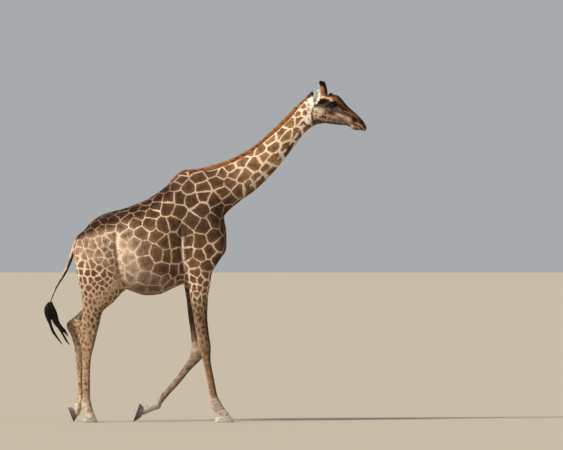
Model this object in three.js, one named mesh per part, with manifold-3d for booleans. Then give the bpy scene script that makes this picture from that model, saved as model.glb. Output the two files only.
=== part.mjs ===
// A life-size walking giraffe cow, as a still museum model.
// Millimetres. +X is the way it walks, +Y is its left, +Z is up, and the floor is z = 0.
// The origin is on the floor under the middle of the whole animal.
import * as THREE from "three";
import { mergeVertices } from "three/addons/utils/BufferGeometryUtils.js";
import Module from "manifold-3d";

const wasm = await Module();
wasm.setup();

// ---- Driving dimensions ---------------------------------------------------------------------
const SHIFT_X = -7.3; // moves the whole animal so that its box is centred on the origin
const GAP = 0.35; // the parting between two neighbouring pieces
const EYE = { x: 1404, z: 3485, y: 93, r: 24 }; // eyeball centre and radius
const OSSICONE = { x: 1318, z: 3560, tilt: 93, bend: 28, y: 53, splay: 15, length: 184, base: 38, middle: 38, knob: 33, side: 0.84 };
const EAR = { x: 1204, z: 3494, y: 84, tipX: 1254, tipZ: 3657, tipY: 184, width: 44, cup: 22, thick: 9 };
const MANE_HALF = 17; // half the crest's thickness
const CLAW = {
  fore: { length: 218, width: 69, toeHeight: 82, heelHeight: 50, coronetHeel: 20, coronetToe: 170, split: 5 },
  fore_bent: { length: 218, width: 69, toeHeight: 68, heelHeight: 50, coronetHeel: 24, coronetToe: 142, split: 5 },
  hind: { length: 172, width: 59, toeHeight: 76, heelHeight: 44, coronetHeel: 16, coronetToe: 136, split: 4 },
  hind_bent: { length: 172, width: 59, toeHeight: 70, heelHeight: 44, coronetHeel: 16, coronetToe: 126, split: 4 },
};
// Where each foot's heel meets the sole, which way the toe points, and how far the sole is from the midline.
const FOOT = {
  fore_right: { x: 107, z: 0, tilt: 0, y: -101, claw: "fore" },
  hind_right: { x: -1340, z: 0, tilt: 0, y: -145, claw: "hind" },
  fore_left: { x: -718, z: 201, tilt: -110, y: 187, claw: "fore_bent" },
  hind_left: { x: -1510, z: 157, tilt: -69, y: 191, claw: "hind_bent" },
};

// Each length of the body is a row of sections along a straight line that leaves x, z at the tilt given in degrees.
// s runs along that line, hi and lo are the two outlines across it in the side view, y is the section's middle across
// the body, outer and inner are its half widths, nHi and nLo its roundness and mid the height of its widest place.
const LENGTHS = {
  trunk: { x: -1428, z: 1892, tilt: 0, capStart: 28, capEnd: 16, stations: [
    { at: "tail root", s: 11, hi: 79, lo: -122, y: 0, outer: 84, inner: 84, nHi: 2, nLo: 2, mid: 0.5 },
    { at: "rump", s: 55, hi: 163, lo: -248, y: 0, outer: 182, inner: 182, nHi: 2, nLo: 2, mid: 0.5 },
    { at: "pelvis end", s: 121, hi: 244, lo: -341, y: 0, outer: 232, inner: 232, nHi: 2, nLo: 2, mid: 0.48 },
    { at: "croup", s: 220, hi: 346, lo: -388, y: 0, outer: 264, inner: 264, nHi: 1.9, nLo: 2, mid: 0.5 },
    { at: "hips", s: 341, hi: 408, lo: -396, y: 0, outer: 297, inner: 297, nHi: 1.9, nLo: 2.1, mid: 0.52 },
    { at: "loin", s: 484, hi: 445, lo: -403, y: 0, outer: 324, inner: 324, nHi: 1.9, nLo: 2.2, mid: 0.48 },
    { at: "flank", s: 627, hi: 490, lo: -459, y: 0, outer: 352, inner: 352, nHi: 1.95, nLo: 2.2, mid: 0.45 },
    { at: "belly", s: 792, hi: 559, lo: -504, y: 0, outer: 374, inner: 374, nHi: 2, nLo: 2.2, mid: 0.43 },
    { at: "ribs", s: 935, hi: 651, lo: -490, y: 0, outer: 363, inner: 363, nHi: 2, nLo: 2.2, mid: 0.43 },
    { at: "girth", s: 1067, hi: 760, lo: -429, y: 0, outer: 319, inner: 319, nHi: 2, nLo: 2.1, mid: 0.42 },
    { at: "withers back", s: 1155, hi: 836, lo: -390, y: 0, outer: 280, inner: 280, nHi: 1.9, nLo: 2.1, mid: 0.42 },
    { at: "withers", s: 1232, hi: 861, lo: -365, y: 0, outer: 248, inner: 248, nHi: 1.8, nLo: 2, mid: 0.4 },
    { at: "shoulder", s: 1342, hi: 855, lo: -320, y: 0, outer: 231, inner: 231, nHi: 1.8, nLo: 2, mid: 0.42 },
    { at: "chest", s: 1452, hi: 794, lo: -239, y: 0, outer: 214, inner: 214, nHi: 1.9, nLo: 2, mid: 0.44 },
    { at: "breast", s: 1551, hi: 638, lo: -148, y: 0, outer: 182, inner: 182, nHi: 2, nLo: 2, mid: 0.46 },
    { at: "breast front", s: 1617, hi: 443, lo: -77, y: 0, outer: 138, inner: 138, nHi: 2, nLo: 2, mid: 0.5 },
    { at: "breast end", s: 1650, hi: 279, lo: -6, y: 0, outer: 94, inner: 94, nHi: 2, nLo: 2, mid: 0.5 },
  ] },
  neck: { x: 112, z: 2530, tilt: 40, capStart: 44, capEnd: 30, stations: [
    { at: "root", s: -198, hi: 361, lo: -310, y: 0, outer: 187, inner: 187, nHi: 1.8, nLo: 2, mid: 0.45 },
    { at: "shoulder line", s: -44, hi: 317, lo: -259, y: 0, outer: 192, inner: 192, nHi: 1.8, nLo: 2, mid: 0.45 },
    { at: "base", s: 132, hi: 213, lo: -256, y: 0, outer: 176, inner: 176, nHi: 1.8, nLo: 2, mid: 0.45 },
    { at: "lower", s: 330, hi: 139, lo: -274, y: 0, outer: 139, inner: 139, nHi: 1.85, nLo: 2, mid: 0.45 },
    { at: "middle", s: 572, hi: 86, lo: -258, y: 0, outer: 112, inner: 112, nHi: 1.9, nLo: 2, mid: 0.45 },
    { at: "upper middle", s: 814, hi: 79, lo: -219, y: 0, outer: 97, inner: 97, nHi: 1.95, nLo: 2, mid: 0.46 },
    { at: "upper", s: 1034, hi: 84, lo: -169, y: 0, outer: 86, inner: 86, nHi: 2, nLo: 2, mid: 0.48 },
    { at: "throat", s: 1210, hi: 103, lo: -136, y: 0, outer: 81, inner: 81, nHi: 2, nLo: 2, mid: 0.5 },
    { at: "atlas", s: 1320, hi: 127, lo: -142, y: 0, outer: 81, inner: 81, nHi: 2, nLo: 2, mid: 0.5 },
    { at: "poll", s: 1408, hi: 138, lo: -168, y: 0, outer: 77, inner: 77, nHi: 2, nLo: 2, mid: 0.5 },
    { at: "nape end", s: 1484, hi: 141, lo: -110, y: 0, outer: 68, inner: 68, nHi: 2, nLo: 2, mid: 0.5 },
  ] },
  head: { x: 1223, z: 3454, tilt: -24, capStart: 38, capEnd: 9, stations: [
    { at: "occiput", s: -55, hi: 120, lo: -124, y: 0, outer: 66, inner: 66, nHi: 2.1, nLo: 2, mid: 0.55 },
    { at: "ears", s: 11, hi: 148, lo: -146, y: 0, outer: 90, inner: 90, nHi: 2.2, nLo: 2, mid: 0.58 },
    { at: "temple", s: 88, hi: 189, lo: -135, y: 0, outer: 110, inner: 110, nHi: 2.3, nLo: 2, mid: 0.6 },
    { at: "orbit", s: 165, hi: 221, lo: -111, y: 0, outer: 117, inner: 117, nHi: 2.4, nLo: 2, mid: 0.62 },
    { at: "face", s: 242, hi: 194, lo: -90, y: 0, outer: 101, inner: 101, nHi: 2.3, nLo: 2, mid: 0.56 },
    { at: "cheek front", s: 319, hi: 160, lo: -65, y: 0, outer: 77, inner: 77, nHi: 2.2, nLo: 2, mid: 0.5 },
    { at: "bridge", s: 396, hi: 135, lo: -38, y: 0, outer: 62, inner: 62, nHi: 2.1, nLo: 2, mid: 0.5 },
    { at: "muzzle back", s: 473, hi: 110, lo: -34, y: 0, outer: 55, inner: 55, nHi: 2.1, nLo: 2.1, mid: 0.5 },
    { at: "nostrils", s: 539, hi: 80, lo: -19, y: 0, outer: 55, inner: 55, nHi: 2.2, nLo: 2.2, mid: 0.5 },
    { at: "upper lip", s: 594, hi: 33, lo: -14, y: 0, outer: 48, inner: 48, nHi: 2.2, nLo: 2.2, mid: 0.5 },
  ] },
  fore_right: { x: -53, z: 2442, tilt: -90, capStart: 66, capEnd: 28, stations: [
    { at: "scapula top", s: 0, hi: 69, lo: -279, y: -126, outer: 82, inner: 77, nHi: 2, nLo: 2, mid: 0.5 },
    { at: "scapula", s: 154, hi: 154, lo: -286, y: -138, outer: 102, inner: 88, nHi: 2, nLo: 2, mid: 0.5 },
    { at: "scapula low", s: 308, hi: 218, lo: -259, y: -143, outer: 113, inner: 99, nHi: 2, nLo: 2, mid: 0.5 },
    { at: "shoulder point", s: 473, hi: 282, lo: -215, y: -143, outer: 110, inner: 99, nHi: 2, nLo: 2, mid: 0.5 },
    { at: "arm", s: 594, hi: 259, lo: -204, y: -143, outer: 103, inner: 88, nHi: 2, nLo: 2, mid: 0.5 },
    { at: "elbow top", s: 704, hi: 194, lo: -193, y: -143, outer: 97, inner: 82, nHi: 2, nLo: 2, mid: 0.48 },
    { at: "elbow", s: 803, hi: 137, lo: -162, y: -141, outer: 90, inner: 77, nHi: 2, nLo: 2, mid: 0.48 },
    { at: "forearm top", s: 924, hi: 118, lo: -130, y: -136, outer: 79, inner: 73, nHi: 2, nLo: 2, mid: 0.5 },
    { at: "forearm", s: 1078, hi: 94, lo: -108, y: -132, outer: 70, inner: 66, nHi: 2, nLo: 2, mid: 0.52 },
    { at: "forearm low", s: 1276, hi: 87, lo: -74, y: -125, outer: 60, inner: 58, nHi: 2, nLo: 2, mid: 0.5 },
    { at: "above knee", s: 1474, hi: 104, lo: -41, y: -119, outer: 55, inner: 55, nHi: 2.2, nLo: 2, mid: 0.5 },
    { at: "knee", s: 1628, hi: 125, lo: -9, y: -114, outer: 56, inner: 56, nHi: 2.5, nLo: 2.1, mid: 0.5 },
    { at: "below knee", s: 1738, hi: 121, lo: 23, y: -111, outer: 47, inner: 47, nHi: 2.4, nLo: 2.1, mid: 0.5 },
    { at: "cannon top", s: 1837, hi: 134, lo: 46, y: -109, outer: 42, inner: 42, nHi: 2.2, nLo: 2.2, mid: 0.5 },
    { at: "cannon", s: 2002, hi: 167, lo: 79, y: -106, outer: 40, inner: 40, nHi: 2.1, nLo: 2.3, mid: 0.5 },
    { at: "cannon low", s: 2123, hi: 190, lo: 101, y: -103, outer: 43, inner: 43, nHi: 2.1, nLo: 2.2, mid: 0.5 },
    { at: "fetlock", s: 2222, hi: 218, lo: 118, y: -102, outer: 52, inner: 52, nHi: 2.1, nLo: 2.1, mid: 0.5 },
    { at: "fetlock end", s: 2277, hi: 235, lo: 139, y: -101, outer: 51, inner: 51, nHi: 2.1, nLo: 2.1, mid: 0.5 },
  ] },
  hind_right: { x: -1263, z: 2200, tilt: -90, capStart: 36, capEnd: 28, stations: [
    { at: "hip", s: 66, hi: 194, lo: -16, y: -187, outer: 84, inner: 88, nHi: 2, nLo: 2, mid: 0.5 },
    { at: "haunch", s: 154, hi: 279, lo: -130, y: -198, outer: 112, inner: 110, nHi: 2, nLo: 2, mid: 0.5 },
    { at: "thigh", s: 308, hi: 326, lo: -162, y: -198, outer: 122, inner: 110, nHi: 2, nLo: 2, mid: 0.5 },
    { at: "thigh low", s: 484, hi: 356, lo: -158, y: -189, outer: 123, inner: 104, nHi: 2, nLo: 2, mid: 0.48 },
    { at: "stifle top", s: 638, hi: 394, lo: -132, y: -180, outer: 110, inner: 94, nHi: 2, nLo: 2, mid: 0.48 },
    { at: "stifle", s: 737, hi: 398, lo: -106, y: -176, outer: 101, inner: 88, nHi: 2, nLo: 2, mid: 0.46 },
    { at: "fold", s: 792, hi: 345, lo: -95, y: -174, outer: 97, inner: 84, nHi: 2, nLo: 2, mid: 0.45 },
    { at: "below stifle", s: 869, hi: 280, lo: -83, y: -170, outer: 88, inner: 79, nHi: 2, nLo: 2, mid: 0.45 },
    { at: "gaskin", s: 990, hi: 145, lo: -76, y: -165, outer: 73, inner: 68, nHi: 2, nLo: 1.8, mid: 0.55 },
    { at: "gaskin low", s: 1111, hi: 116, lo: -100, y: -160, outer: 57, inner: 55, nHi: 2, nLo: 1.6, mid: 0.6 },
    { at: "hock top", s: 1199, hi: 93, lo: -130, y: -156, outer: 50, inner: 50, nHi: 2.1, nLo: 1.7, mid: 0.6 },
    { at: "hock", s: 1276, hi: 74, lo: -125, y: -154, outer: 51, inner: 51, nHi: 2.2, nLo: 1.9, mid: 0.55 },
    { at: "below hock", s: 1375, hi: 51, lo: -93, y: -152, outer: 46, inner: 46, nHi: 2.2, nLo: 2, mid: 0.5 },
    { at: "cannon top", s: 1496, hi: 20, lo: -82, y: -150, outer: 41, inner: 41, nHi: 2.2, nLo: 2.1, mid: 0.5 },
    { at: "cannon", s: 1716, hi: 10, lo: -78, y: -147, outer: 38, inner: 38, nHi: 2.1, nLo: 2.2, mid: 0.5 },
    { at: "cannon low", s: 1892, hi: 10, lo: -78, y: -146, outer: 41, inner: 41, nHi: 2.1, nLo: 2.2, mid: 0.5 },
    { at: "fetlock", s: 2013, hi: 24, lo: -88, y: -145, outer: 51, inner: 51, nHi: 2.1, nLo: 2.1, mid: 0.5 },
    { at: "fetlock end", s: 2068, hi: 33, lo: -75, y: -145, outer: 50, inner: 50, nHi: 2.1, nLo: 2.1, mid: 0.5 },
  ] },
  fore_left: { x: -53, z: 2442, tilt: -90, capStart: 66, capEnd: 44, stations: [
    { at: "scapula top", s: 0, hi: 69, lo: -279, y: 126, outer: 82, inner: 77, nHi: 2, nLo: 2, mid: 0.5 },
    { at: "scapula", s: 154, hi: 154, lo: -286, y: 138, outer: 102, inner: 88, nHi: 2, nLo: 2, mid: 0.5 },
    { at: "scapula low", s: 308, hi: 217, lo: -273, y: 143, outer: 113, inner: 99, nHi: 2, nLo: 2, mid: 0.5 },
    { at: "shoulder point", s: 473, hi: 264, lo: -257, y: 143, outer: 110, inner: 99, nHi: 2, nLo: 2, mid: 0.5 },
    { at: "arm", s: 594, hi: 243, lo: -250, y: 143, outer: 103, inner: 88, nHi: 2, nLo: 2, mid: 0.5 },
    { at: "elbow top", s: 704, hi: 169, lo: -233, y: 143, outer: 95, inner: 82, nHi: 2, nLo: 2, mid: 0.48 },
    { at: "elbow", s: 803, hi: 108, lo: -209, y: 143, outer: 88, inner: 77, nHi: 2, nLo: 2, mid: 0.48 },
    { at: "forearm top", s: 924, hi: 75, lo: -184, y: 145, outer: 77, inner: 73, nHi: 2, nLo: 2, mid: 0.5 },
    { at: "forearm", s: 1078, hi: 47, lo: -157, y: 152, outer: 68, inner: 66, nHi: 2, nLo: 2, mid: 0.52 },
    { at: "forearm low", s: 1276, hi: 33, lo: -135, y: 161, outer: 60, inner: 58, nHi: 2, nLo: 2, mid: 0.5 },
    { at: "above knee", s: 1474, hi: 38, lo: -108, y: 169, outer: 55, inner: 55, nHi: 2.2, nLo: 2, mid: 0.5 },
    { at: "knee", s: 1617, hi: 49, lo: -97, y: 174, outer: 56, inner: 56, nHi: 2.4, nLo: 2.1, mid: 0.5 },
    { at: "knee end", s: 1694, hi: 44, lo: -107, y: 176, outer: 53, inner: 53, nHi: 2.4, nLo: 2.1, mid: 0.5 },
  ] },
  fore_left_cannon: { x: -102, z: 726, tilt: -128.5, capStart: 44, capEnd: 44, stations: [
    { at: "knee", s: -33, hi: 78, lo: -67, y: 176, outer: 55, inner: 55, nHi: 2.3, nLo: 2.1, mid: 0.5 },
    { at: "below knee", s: 66, hi: 67, lo: -43, y: 176, outer: 48, inner: 48, nHi: 2.4, nLo: 2.1, mid: 0.5 },
    { at: "cannon top", s: 165, hi: 55, lo: -33, y: 178, outer: 42, inner: 42, nHi: 2.2, nLo: 2.2, mid: 0.5 },
    { at: "cannon", s: 352, hi: 53, lo: -25, y: 182, outer: 40, inner: 40, nHi: 2.1, nLo: 2.3, mid: 0.5 },
    { at: "cannon low", s: 528, hi: 40, lo: -33, y: 185, outer: 43, inner: 43, nHi: 2.1, nLo: 2.2, mid: 0.5 },
    { at: "fetlock", s: 627, hi: 38, lo: -39, y: 187, outer: 51, inner: 51, nHi: 2.1, nLo: 2.1, mid: 0.5 },
  ] },
  hind_left: { x: -1263, z: 2200, tilt: -90, capStart: 36, capEnd: 66, stations: [
    { at: "hip", s: 66, hi: 189, lo: -16, y: 187, outer: 84, inner: 88, nHi: 2, nLo: 2, mid: 0.5 },
    { at: "haunch", s: 154, hi: 243, lo: -127, y: 198, outer: 112, inner: 110, nHi: 2, nLo: 2, mid: 0.5 },
    { at: "thigh", s: 308, hi: 263, lo: -153, y: 198, outer: 122, inner: 110, nHi: 2, nLo: 2, mid: 0.5 },
    { at: "thigh low", s: 484, hi: 270, lo: -143, y: 189, outer: 123, inner: 104, nHi: 2, nLo: 2, mid: 0.48 },
    { at: "stifle top", s: 638, hi: 266, lo: -127, y: 183, outer: 110, inner: 94, nHi: 2, nLo: 2, mid: 0.48 },
    { at: "stifle", s: 770, hi: 230, lo: -110, y: 178, outer: 99, inner: 88, nHi: 2, nLo: 2, mid: 0.46 },
    { at: "stifle end", s: 880, hi: 156, lo: -99, y: 176, outer: 86, inner: 79, nHi: 2, nLo: 2, mid: 0.46 },
  ] },
  hind_left_gaskin: { x: -1230, z: 1276, tilt: -137, capStart: 55, capEnd: 55, stations: [
    { at: "gaskin top", s: -66, hi: 58, lo: -88, y: 176, outer: 90, inner: 81, nHi: 2, nLo: 2, mid: 0.5 },
    { at: "gaskin", s: 66, hi: 80, lo: -60, y: 176, outer: 77, inner: 73, nHi: 2, nLo: 1.8, mid: 0.55 },
    { at: "gaskin low", s: 176, hi: 108, lo: -57, y: 176, outer: 62, inner: 59, nHi: 2, nLo: 1.7, mid: 0.6 },
    { at: "hock", s: 286, hi: 147, lo: -61, y: 176, outer: 51, inner: 51, nHi: 2.1, nLo: 1.8, mid: 0.6 },
  ] },
  hind_left_cannon: { x: -1384, z: 1078, tilt: -90, capStart: 22, capEnd: 44, stations: [
    { at: "point of hock", s: -14, hi: 20, lo: -136, y: 176, outer: 40, inner: 40, nHi: 2, nLo: 2, mid: 0.5 },
    { at: "hock", s: 22, hi: 61, lo: -150, y: 176, outer: 48, inner: 48, nHi: 2.1, nLo: 2, mid: 0.52 },
    { at: "below hock", s: 121, hi: 54, lo: -99, y: 178, outer: 48, inner: 48, nHi: 2.2, nLo: 2, mid: 0.5 },
    { at: "cannon top", s: 242, hi: 41, lo: -64, y: 180, outer: 42, inner: 42, nHi: 2.2, nLo: 2.1, mid: 0.5 },
    { at: "cannon", s: 462, hi: 37, lo: -37, y: 185, outer: 38, inner: 38, nHi: 2.1, nLo: 2.2, mid: 0.5 },
    { at: "cannon low", s: 704, hi: 37, lo: -19, y: 189, outer: 41, inner: 41, nHi: 2.1, nLo: 2.2, mid: 0.5 },
    { at: "fetlock", s: 847, hi: 50, lo: -28, y: 191, outer: 51, inner: 51, nHi: 2.1, nLo: 2.1, mid: 0.5 },
  ] },
  fore_right_pastern: { x: 126, z: 204, tilt: -53.5, capStart: 44, capEnd: 33, stations: [
    { at: "top", s: 0, hi: 51, lo: -60, y: -101, outer: 50, inner: 50, nHi: 2.1, nLo: 2.1, mid: 0.5 },
    { at: "pastern", s: 84, hi: 48, lo: -68, y: -101, outer: 54, inner: 54, nHi: 2.1, nLo: 2.1, mid: 0.5 },
    { at: "coronet", s: 168, hi: 50, lo: -80, y: -101, outer: 64, inner: 64, nHi: 2.1, nLo: 2.1, mid: 0.5 },
  ] },
  hind_right_pastern: { x: -1291, z: 182, tilt: -64.5, capStart: 44, capEnd: 33, stations: [
    { at: "top", s: 0, hi: 40, lo: -56, y: -145, outer: 47, inner: 47, nHi: 2.1, nLo: 2.1, mid: 0.5 },
    { at: "pastern", s: 64, hi: 36, lo: -64, y: -145, outer: 48, inner: 48, nHi: 2.1, nLo: 2.1, mid: 0.5 },
    { at: "coronet", s: 128, hi: 40, lo: -72, y: -145, outer: 55, inner: 55, nHi: 2.1, nLo: 2.1, mid: 0.5 },
  ] },
  fore_left_pastern: { x: -526, z: 178, tilt: -160.5, capStart: 44, capEnd: 33, stations: [
    { at: "top", s: 0, hi: 46, lo: -46, y: 187, outer: 50, inner: 50, nHi: 2.1, nLo: 2.1, mid: 0.5 },
    { at: "pastern", s: 85, hi: 42, lo: -42, y: 187, outer: 54, inner: 54, nHi: 2.1, nLo: 2.1, mid: 0.5 },
    { at: "coronet", s: 171, hi: 54, lo: -48, y: 187, outer: 62, inner: 62, nHi: 2.1, nLo: 2.1, mid: 0.5 },
  ] },
  hind_left_pastern: { x: -1375, z: 214, tilt: -111.1, capStart: 44, capEnd: 33, stations: [
    { at: "top", s: 0, hi: 44, lo: -48, y: 191, outer: 47, inner: 47, nHi: 2.1, nLo: 2.1, mid: 0.5 },
    { at: "pastern", s: 64, hi: 42, lo: -46, y: 191, outer: 48, inner: 48, nHi: 2.1, nLo: 2.1, mid: 0.5 },
    { at: "coronet", s: 128, hi: 46, lo: -50, y: 191, outer: 55, inner: 55, nHi: 2.1, nLo: 2.1, mid: 0.5 },
  ] },
  tail: { x: -1411, z: 1969, tilt: -113.5, capStart: 20, capEnd: 16, stations: [
    { at: "root", s: -90, hi: 34, lo: -21, y: 0, outer: 44, inner: 44, nHi: 2, nLo: 2, mid: 0.5 },
    { at: "dock", s: -20, hi: 26, lo: -32, y: 0, outer: 38, inner: 38, nHi: 2, nLo: 2, mid: 0.5 },
    { at: "dock end", s: 60, hi: 17, lo: -29, y: 0, outer: 30, inner: 30, nHi: 2, nLo: 2, mid: 0.5 },
    { at: "upper", s: 140, hi: 27, lo: -19, y: 0, outer: 25, inner: 25, nHi: 2, nLo: 2, mid: 0.5 },
    { at: "bow", s: 220, hi: 33, lo: -12, y: 0, outer: 21, inner: 21, nHi: 2, nLo: 2, mid: 0.5 },
    { at: "middle", s: 310, hi: 33, lo: -6, y: 0, outer: 18, inner: 18, nHi: 2, nLo: 2, mid: 0.5 },
    { at: "lower", s: 400, hi: 23, lo: -10, y: 0, outer: 16, inner: 16, nHi: 2, nLo: 2, mid: 0.5 },
    { at: "thin", s: 500, hi: 6, lo: -19, y: 0, outer: 13, inner: 13, nHi: 2, nLo: 2, mid: 0.5 },
    { at: "thinnest", s: 600, hi: -4, lo: -25, y: 0, outer: 11, inner: 11, nHi: 2, nLo: 2, mid: 0.5 },
    { at: "tuft", s: 684, hi: 0, lo: -21, y: 0, outer: 12, inner: 12, nHi: 2, nLo: 2, mid: 0.5 },
  ] },
  tuft_rear: { x: -1692, z: 1320, tilt: -74, capStart: 14, capEnd: 14, stations: [
    { at: "knot", s: -6, hi: 11, lo: -32, y: 0, outer: 20, inner: 20, nHi: 2, nLo: 2, mid: 0.5 },
    { at: "swell", s: 40, hi: 3, lo: -92, y: -2, outer: 38, inner: 38, nHi: 2, nLo: 2, mid: 0.5 },
    { at: "full", s: 80, hi: -5, lo: -108, y: -3, outer: 44, inner: 44, nHi: 2, nLo: 2, mid: 0.5 },
    { at: "parting", s: 160, hi: -41, lo: -103, y: -5, outer: 36, inner: 36, nHi: 2, nLo: 2, mid: 0.5 },
    { at: "lock", s: 220, hi: -58, lo: -89, y: -6, outer: 26, inner: 26, nHi: 2, nLo: 2, mid: 0.5 },
    { at: "bend", s: 300, hi: -54, lo: -85, y: -7, outer: 19, inner: 19, nHi: 2, nLo: 2, mid: 0.5 },
    { at: "lower", s: 350, hi: -42, lo: -72, y: -8, outer: 16, inner: 16, nHi: 2, nLo: 2, mid: 0.5 },
    { at: "thin", s: 400, hi: -28, lo: -49, y: -8, outer: 12, inner: 12, nHi: 2, nLo: 2, mid: 0.5 },
    { at: "end", s: 450, hi: -12, lo: -28, y: -9, outer: 9, inner: 9, nHi: 2, nLo: 2, mid: 0.5 },
    { at: "tip", s: 492, hi: 0, lo: -9, y: -9, outer: 5, inner: 5, nHi: 2, nLo: 2, mid: 0.5 },
  ] },
  tuft_front: { x: -1692, z: 1320, tilt: -60, capStart: 14, capEnd: 12, stations: [
    { at: "knot", s: -6, hi: 13, lo: -34, y: 0, outer: 20, inner: 20, nHi: 2, nLo: 2, mid: 0.5 },
    { at: "swell", s: 40, hi: 11, lo: -67, y: 2, outer: 38, inner: 38, nHi: 2, nLo: 2, mid: 0.5 },
    { at: "full", s: 80, hi: 8, lo: -85, y: 3, outer: 44, inner: 44, nHi: 2, nLo: 2, mid: 0.5 },
    { at: "front lock", s: 120, hi: 6, lo: -89, y: 4, outer: 42, inner: 42, nHi: 2, nLo: 2, mid: 0.5 },
    { at: "waist", s: 160, hi: -4, lo: -92, y: 5, outer: 36, inner: 36, nHi: 2, nLo: 2, mid: 0.5 },
    { at: "lock", s: 220, hi: -27, lo: -95, y: 6, outer: 30, inner: 30, nHi: 2, nLo: 2, mid: 0.5 },
    { at: "bend", s: 280, hi: -27, lo: -84, y: 7, outer: 25, inner: 25, nHi: 2, nLo: 2, mid: 0.5 },
    { at: "lower", s: 330, hi: -14, lo: -60, y: 8, outer: 19, inner: 19, nHi: 2, nLo: 2, mid: 0.5 },
    { at: "thin", s: 380, hi: -14, lo: -40, y: 8, outer: 12, inner: 12, nHi: 2, nLo: 2, mid: 0.5 },
    { at: "tip", s: 432, hi: -22, lo: -30, y: 9, outer: 5, inner: 5, nHi: 2, nLo: 2, mid: 0.5 },
  ] },
  tuft_low: { x: -1692, z: 1320, tilt: -60, capStart: 20, capEnd: 14, stations: [
    { at: "start", s: 230, hi: -42, lo: -87, y: 2, outer: 18, inner: 18, nHi: 2, nLo: 2, mid: 0.5 },
    { at: "lock", s: 320, hi: -48, lo: -76, y: 0, outer: 15, inner: 15, nHi: 2, nLo: 2, mid: 0.5 },
    { at: "bend", s: 400, hi: -52, lo: -75, y: -2, outer: 12, inner: 12, nHi: 2, nLo: 2, mid: 0.5 },
    { at: "thin", s: 470, hi: -52, lo: -76, y: -3, outer: 9, inner: 9, nHi: 2, nLo: 2, mid: 0.5 },
    { at: "tip", s: 528, hi: -46, lo: -58, y: -4, outer: 5, inner: 5, nHi: 2, nLo: 2, mid: 0.5 },
  ] },
};

// Rounded swellings: centre x, y, z, half sizes along, across and up, and the pitch of the long one.
// Each one off the midline is on both sides.
const SWELLINGS = {
  cheek: { x: 1292, y: 62, z: 3386, along: 105, across: 42, up: 72, pitch: -20 },
  eye_socket: { x: 1394, y: 78, z: 3492, along: 64, across: 38, up: 52, pitch: -24 },
  forehead: { x: 1432, y: 0, z: 3556, along: 74, across: 46, up: 36, pitch: -30 },
  nostril: { x: 1701, y: 31, z: 3302, along: 46, across: 22, up: 27, pitch: -42 },
  upper_lip: { x: 1738, y: 0, z: 3248, along: 34, across: 44, up: 48, pitch: 20 },
  chin: { x: 1668, y: 0, z: 3239, along: 74, across: 37, up: 34, pitch: -6 },
  breast: { x: 168, y: 0, z: 1975, along: 66, across: 128, up: 150, pitch: 12 },
};

// The mane's outer line above the back and neck, in the neck's own s, from the withers to the poll.
const MANE = [
  { at: "withers back", s: -310, hi: 404 },
  { at: "withers", s: -218, hi: 424 },
  { at: "withers front", s: -100, hi: 420 },
  { at: "neck foot", s: 46, hi: 312 },
  { at: "low", s: 254, hi: 217 },
  { at: "lower", s: 363, hi: 176 },
  { at: "middle", s: 606, hi: 124 },
  { at: "upper middle", s: 820, hi: 120 },
  { at: "upper", s: 1046, hi: 134 },
  { at: "nape", s: 1205, hi: 152 },
  { at: "poll", s: 1380, hi: 167 },
  { at: "forelock", s: 1530, hi: 164 },
];

// ---- Curves and sections --------------------------------------------------------------------
// A curve through given heights that never overshoots between them.
function curve(xs, ys) {
  const n = xs.length;
  const h = xs.slice(1).map((x, i) => x - xs[i]);
  const d = h.map((w, i) => (ys[i + 1] - ys[i]) / w);
  const m = new Array(n).fill(0);
  for (let i = 1; i < n - 1; i++)
    if (d[i - 1] * d[i] > 0) {
      const a = 2 * h[i] + h[i - 1];
      const b = h[i] + 2 * h[i - 1];
      m[i] = (a + b) / (a / d[i - 1] + b / d[i]);
    }
  const end = (h0, h1, d0, d1) => {
    const r = ((2 * h0 + h1) * d0 - h0 * d1) / (h0 + h1);
    if (r * d0 <= 0) return 0;
    return d0 * d1 <= 0 && Math.abs(r) > 3 * Math.abs(d0) ? 3 * d0 : r;
  };
  m[0] = n > 2 ? end(h[0], h[1], d[0], d[1]) : d[0];
  m[n - 1] = n > 2 ? end(h[n - 2], h[n - 3], d[n - 2], d[n - 3]) : d[0];
  return (x) => {
    if (x <= xs[0]) return ys[0];
    if (x >= xs[n - 1]) return ys[n - 1];
    let i = 0;
    while (x > xs[i + 1]) i++;
    const t = (x - xs[i]) / h[i];
    return (
      ys[i] * (1 + 2 * t) * (1 - t) ** 2 +
      m[i] * h[i] * t * (1 - t) ** 2 +
      ys[i + 1] * t * t * (3 - 2 * t) +
      m[i + 1] * h[i] * t * t * (t - 1)
    );
  };
}

const power = (v, n) => Math.sign(v) * Math.abs(v) ** (2 / n);
const rad = THREE.MathUtils.degToRad;

// A closed body made from a sphere's rows and columns: place(row, turn) puts each of its points, and the first and last rows are single points.
function body(rows, columns, place) {
  const g = new THREE.SphereGeometry(1, columns, rows - 1);
  const p = g.getAttribute("position");
  for (let r = 0, i = 0; r < rows; r++)
    for (let c = 0; c <= columns; c++, i++) {
      const at = place(r, ((c % columns) / columns) * 2 * Math.PI);
      p.setXYZ(i, at.x, at.y, at.z);
    }
  g.deleteAttribute("normal");
  g.deleteAttribute("uv");
  return mergeVertices(g, 1e-3);
}

function solid(geometry) {
  const vertProperties = new Float32Array(geometry.getAttribute("position").array);
  const build = (triVerts) => new wasm.Manifold(new wasm.Mesh({ numProp: 3, vertProperties, triVerts }));
  const triVerts = new Uint32Array(geometry.index.array);
  let made = build(triVerts);
  if (made.volume() < 0) {
    for (let i = 0; i < triVerts.length; i += 3) [triVerts[i + 1], triVerts[i + 2]] = [triVerts[i + 2], triVerts[i + 1]];
    made = build(triVerts);
  }
  return made;
}

const union = (...all) => all.flat(3).reduce((a, b) => a.add(b));

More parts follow.
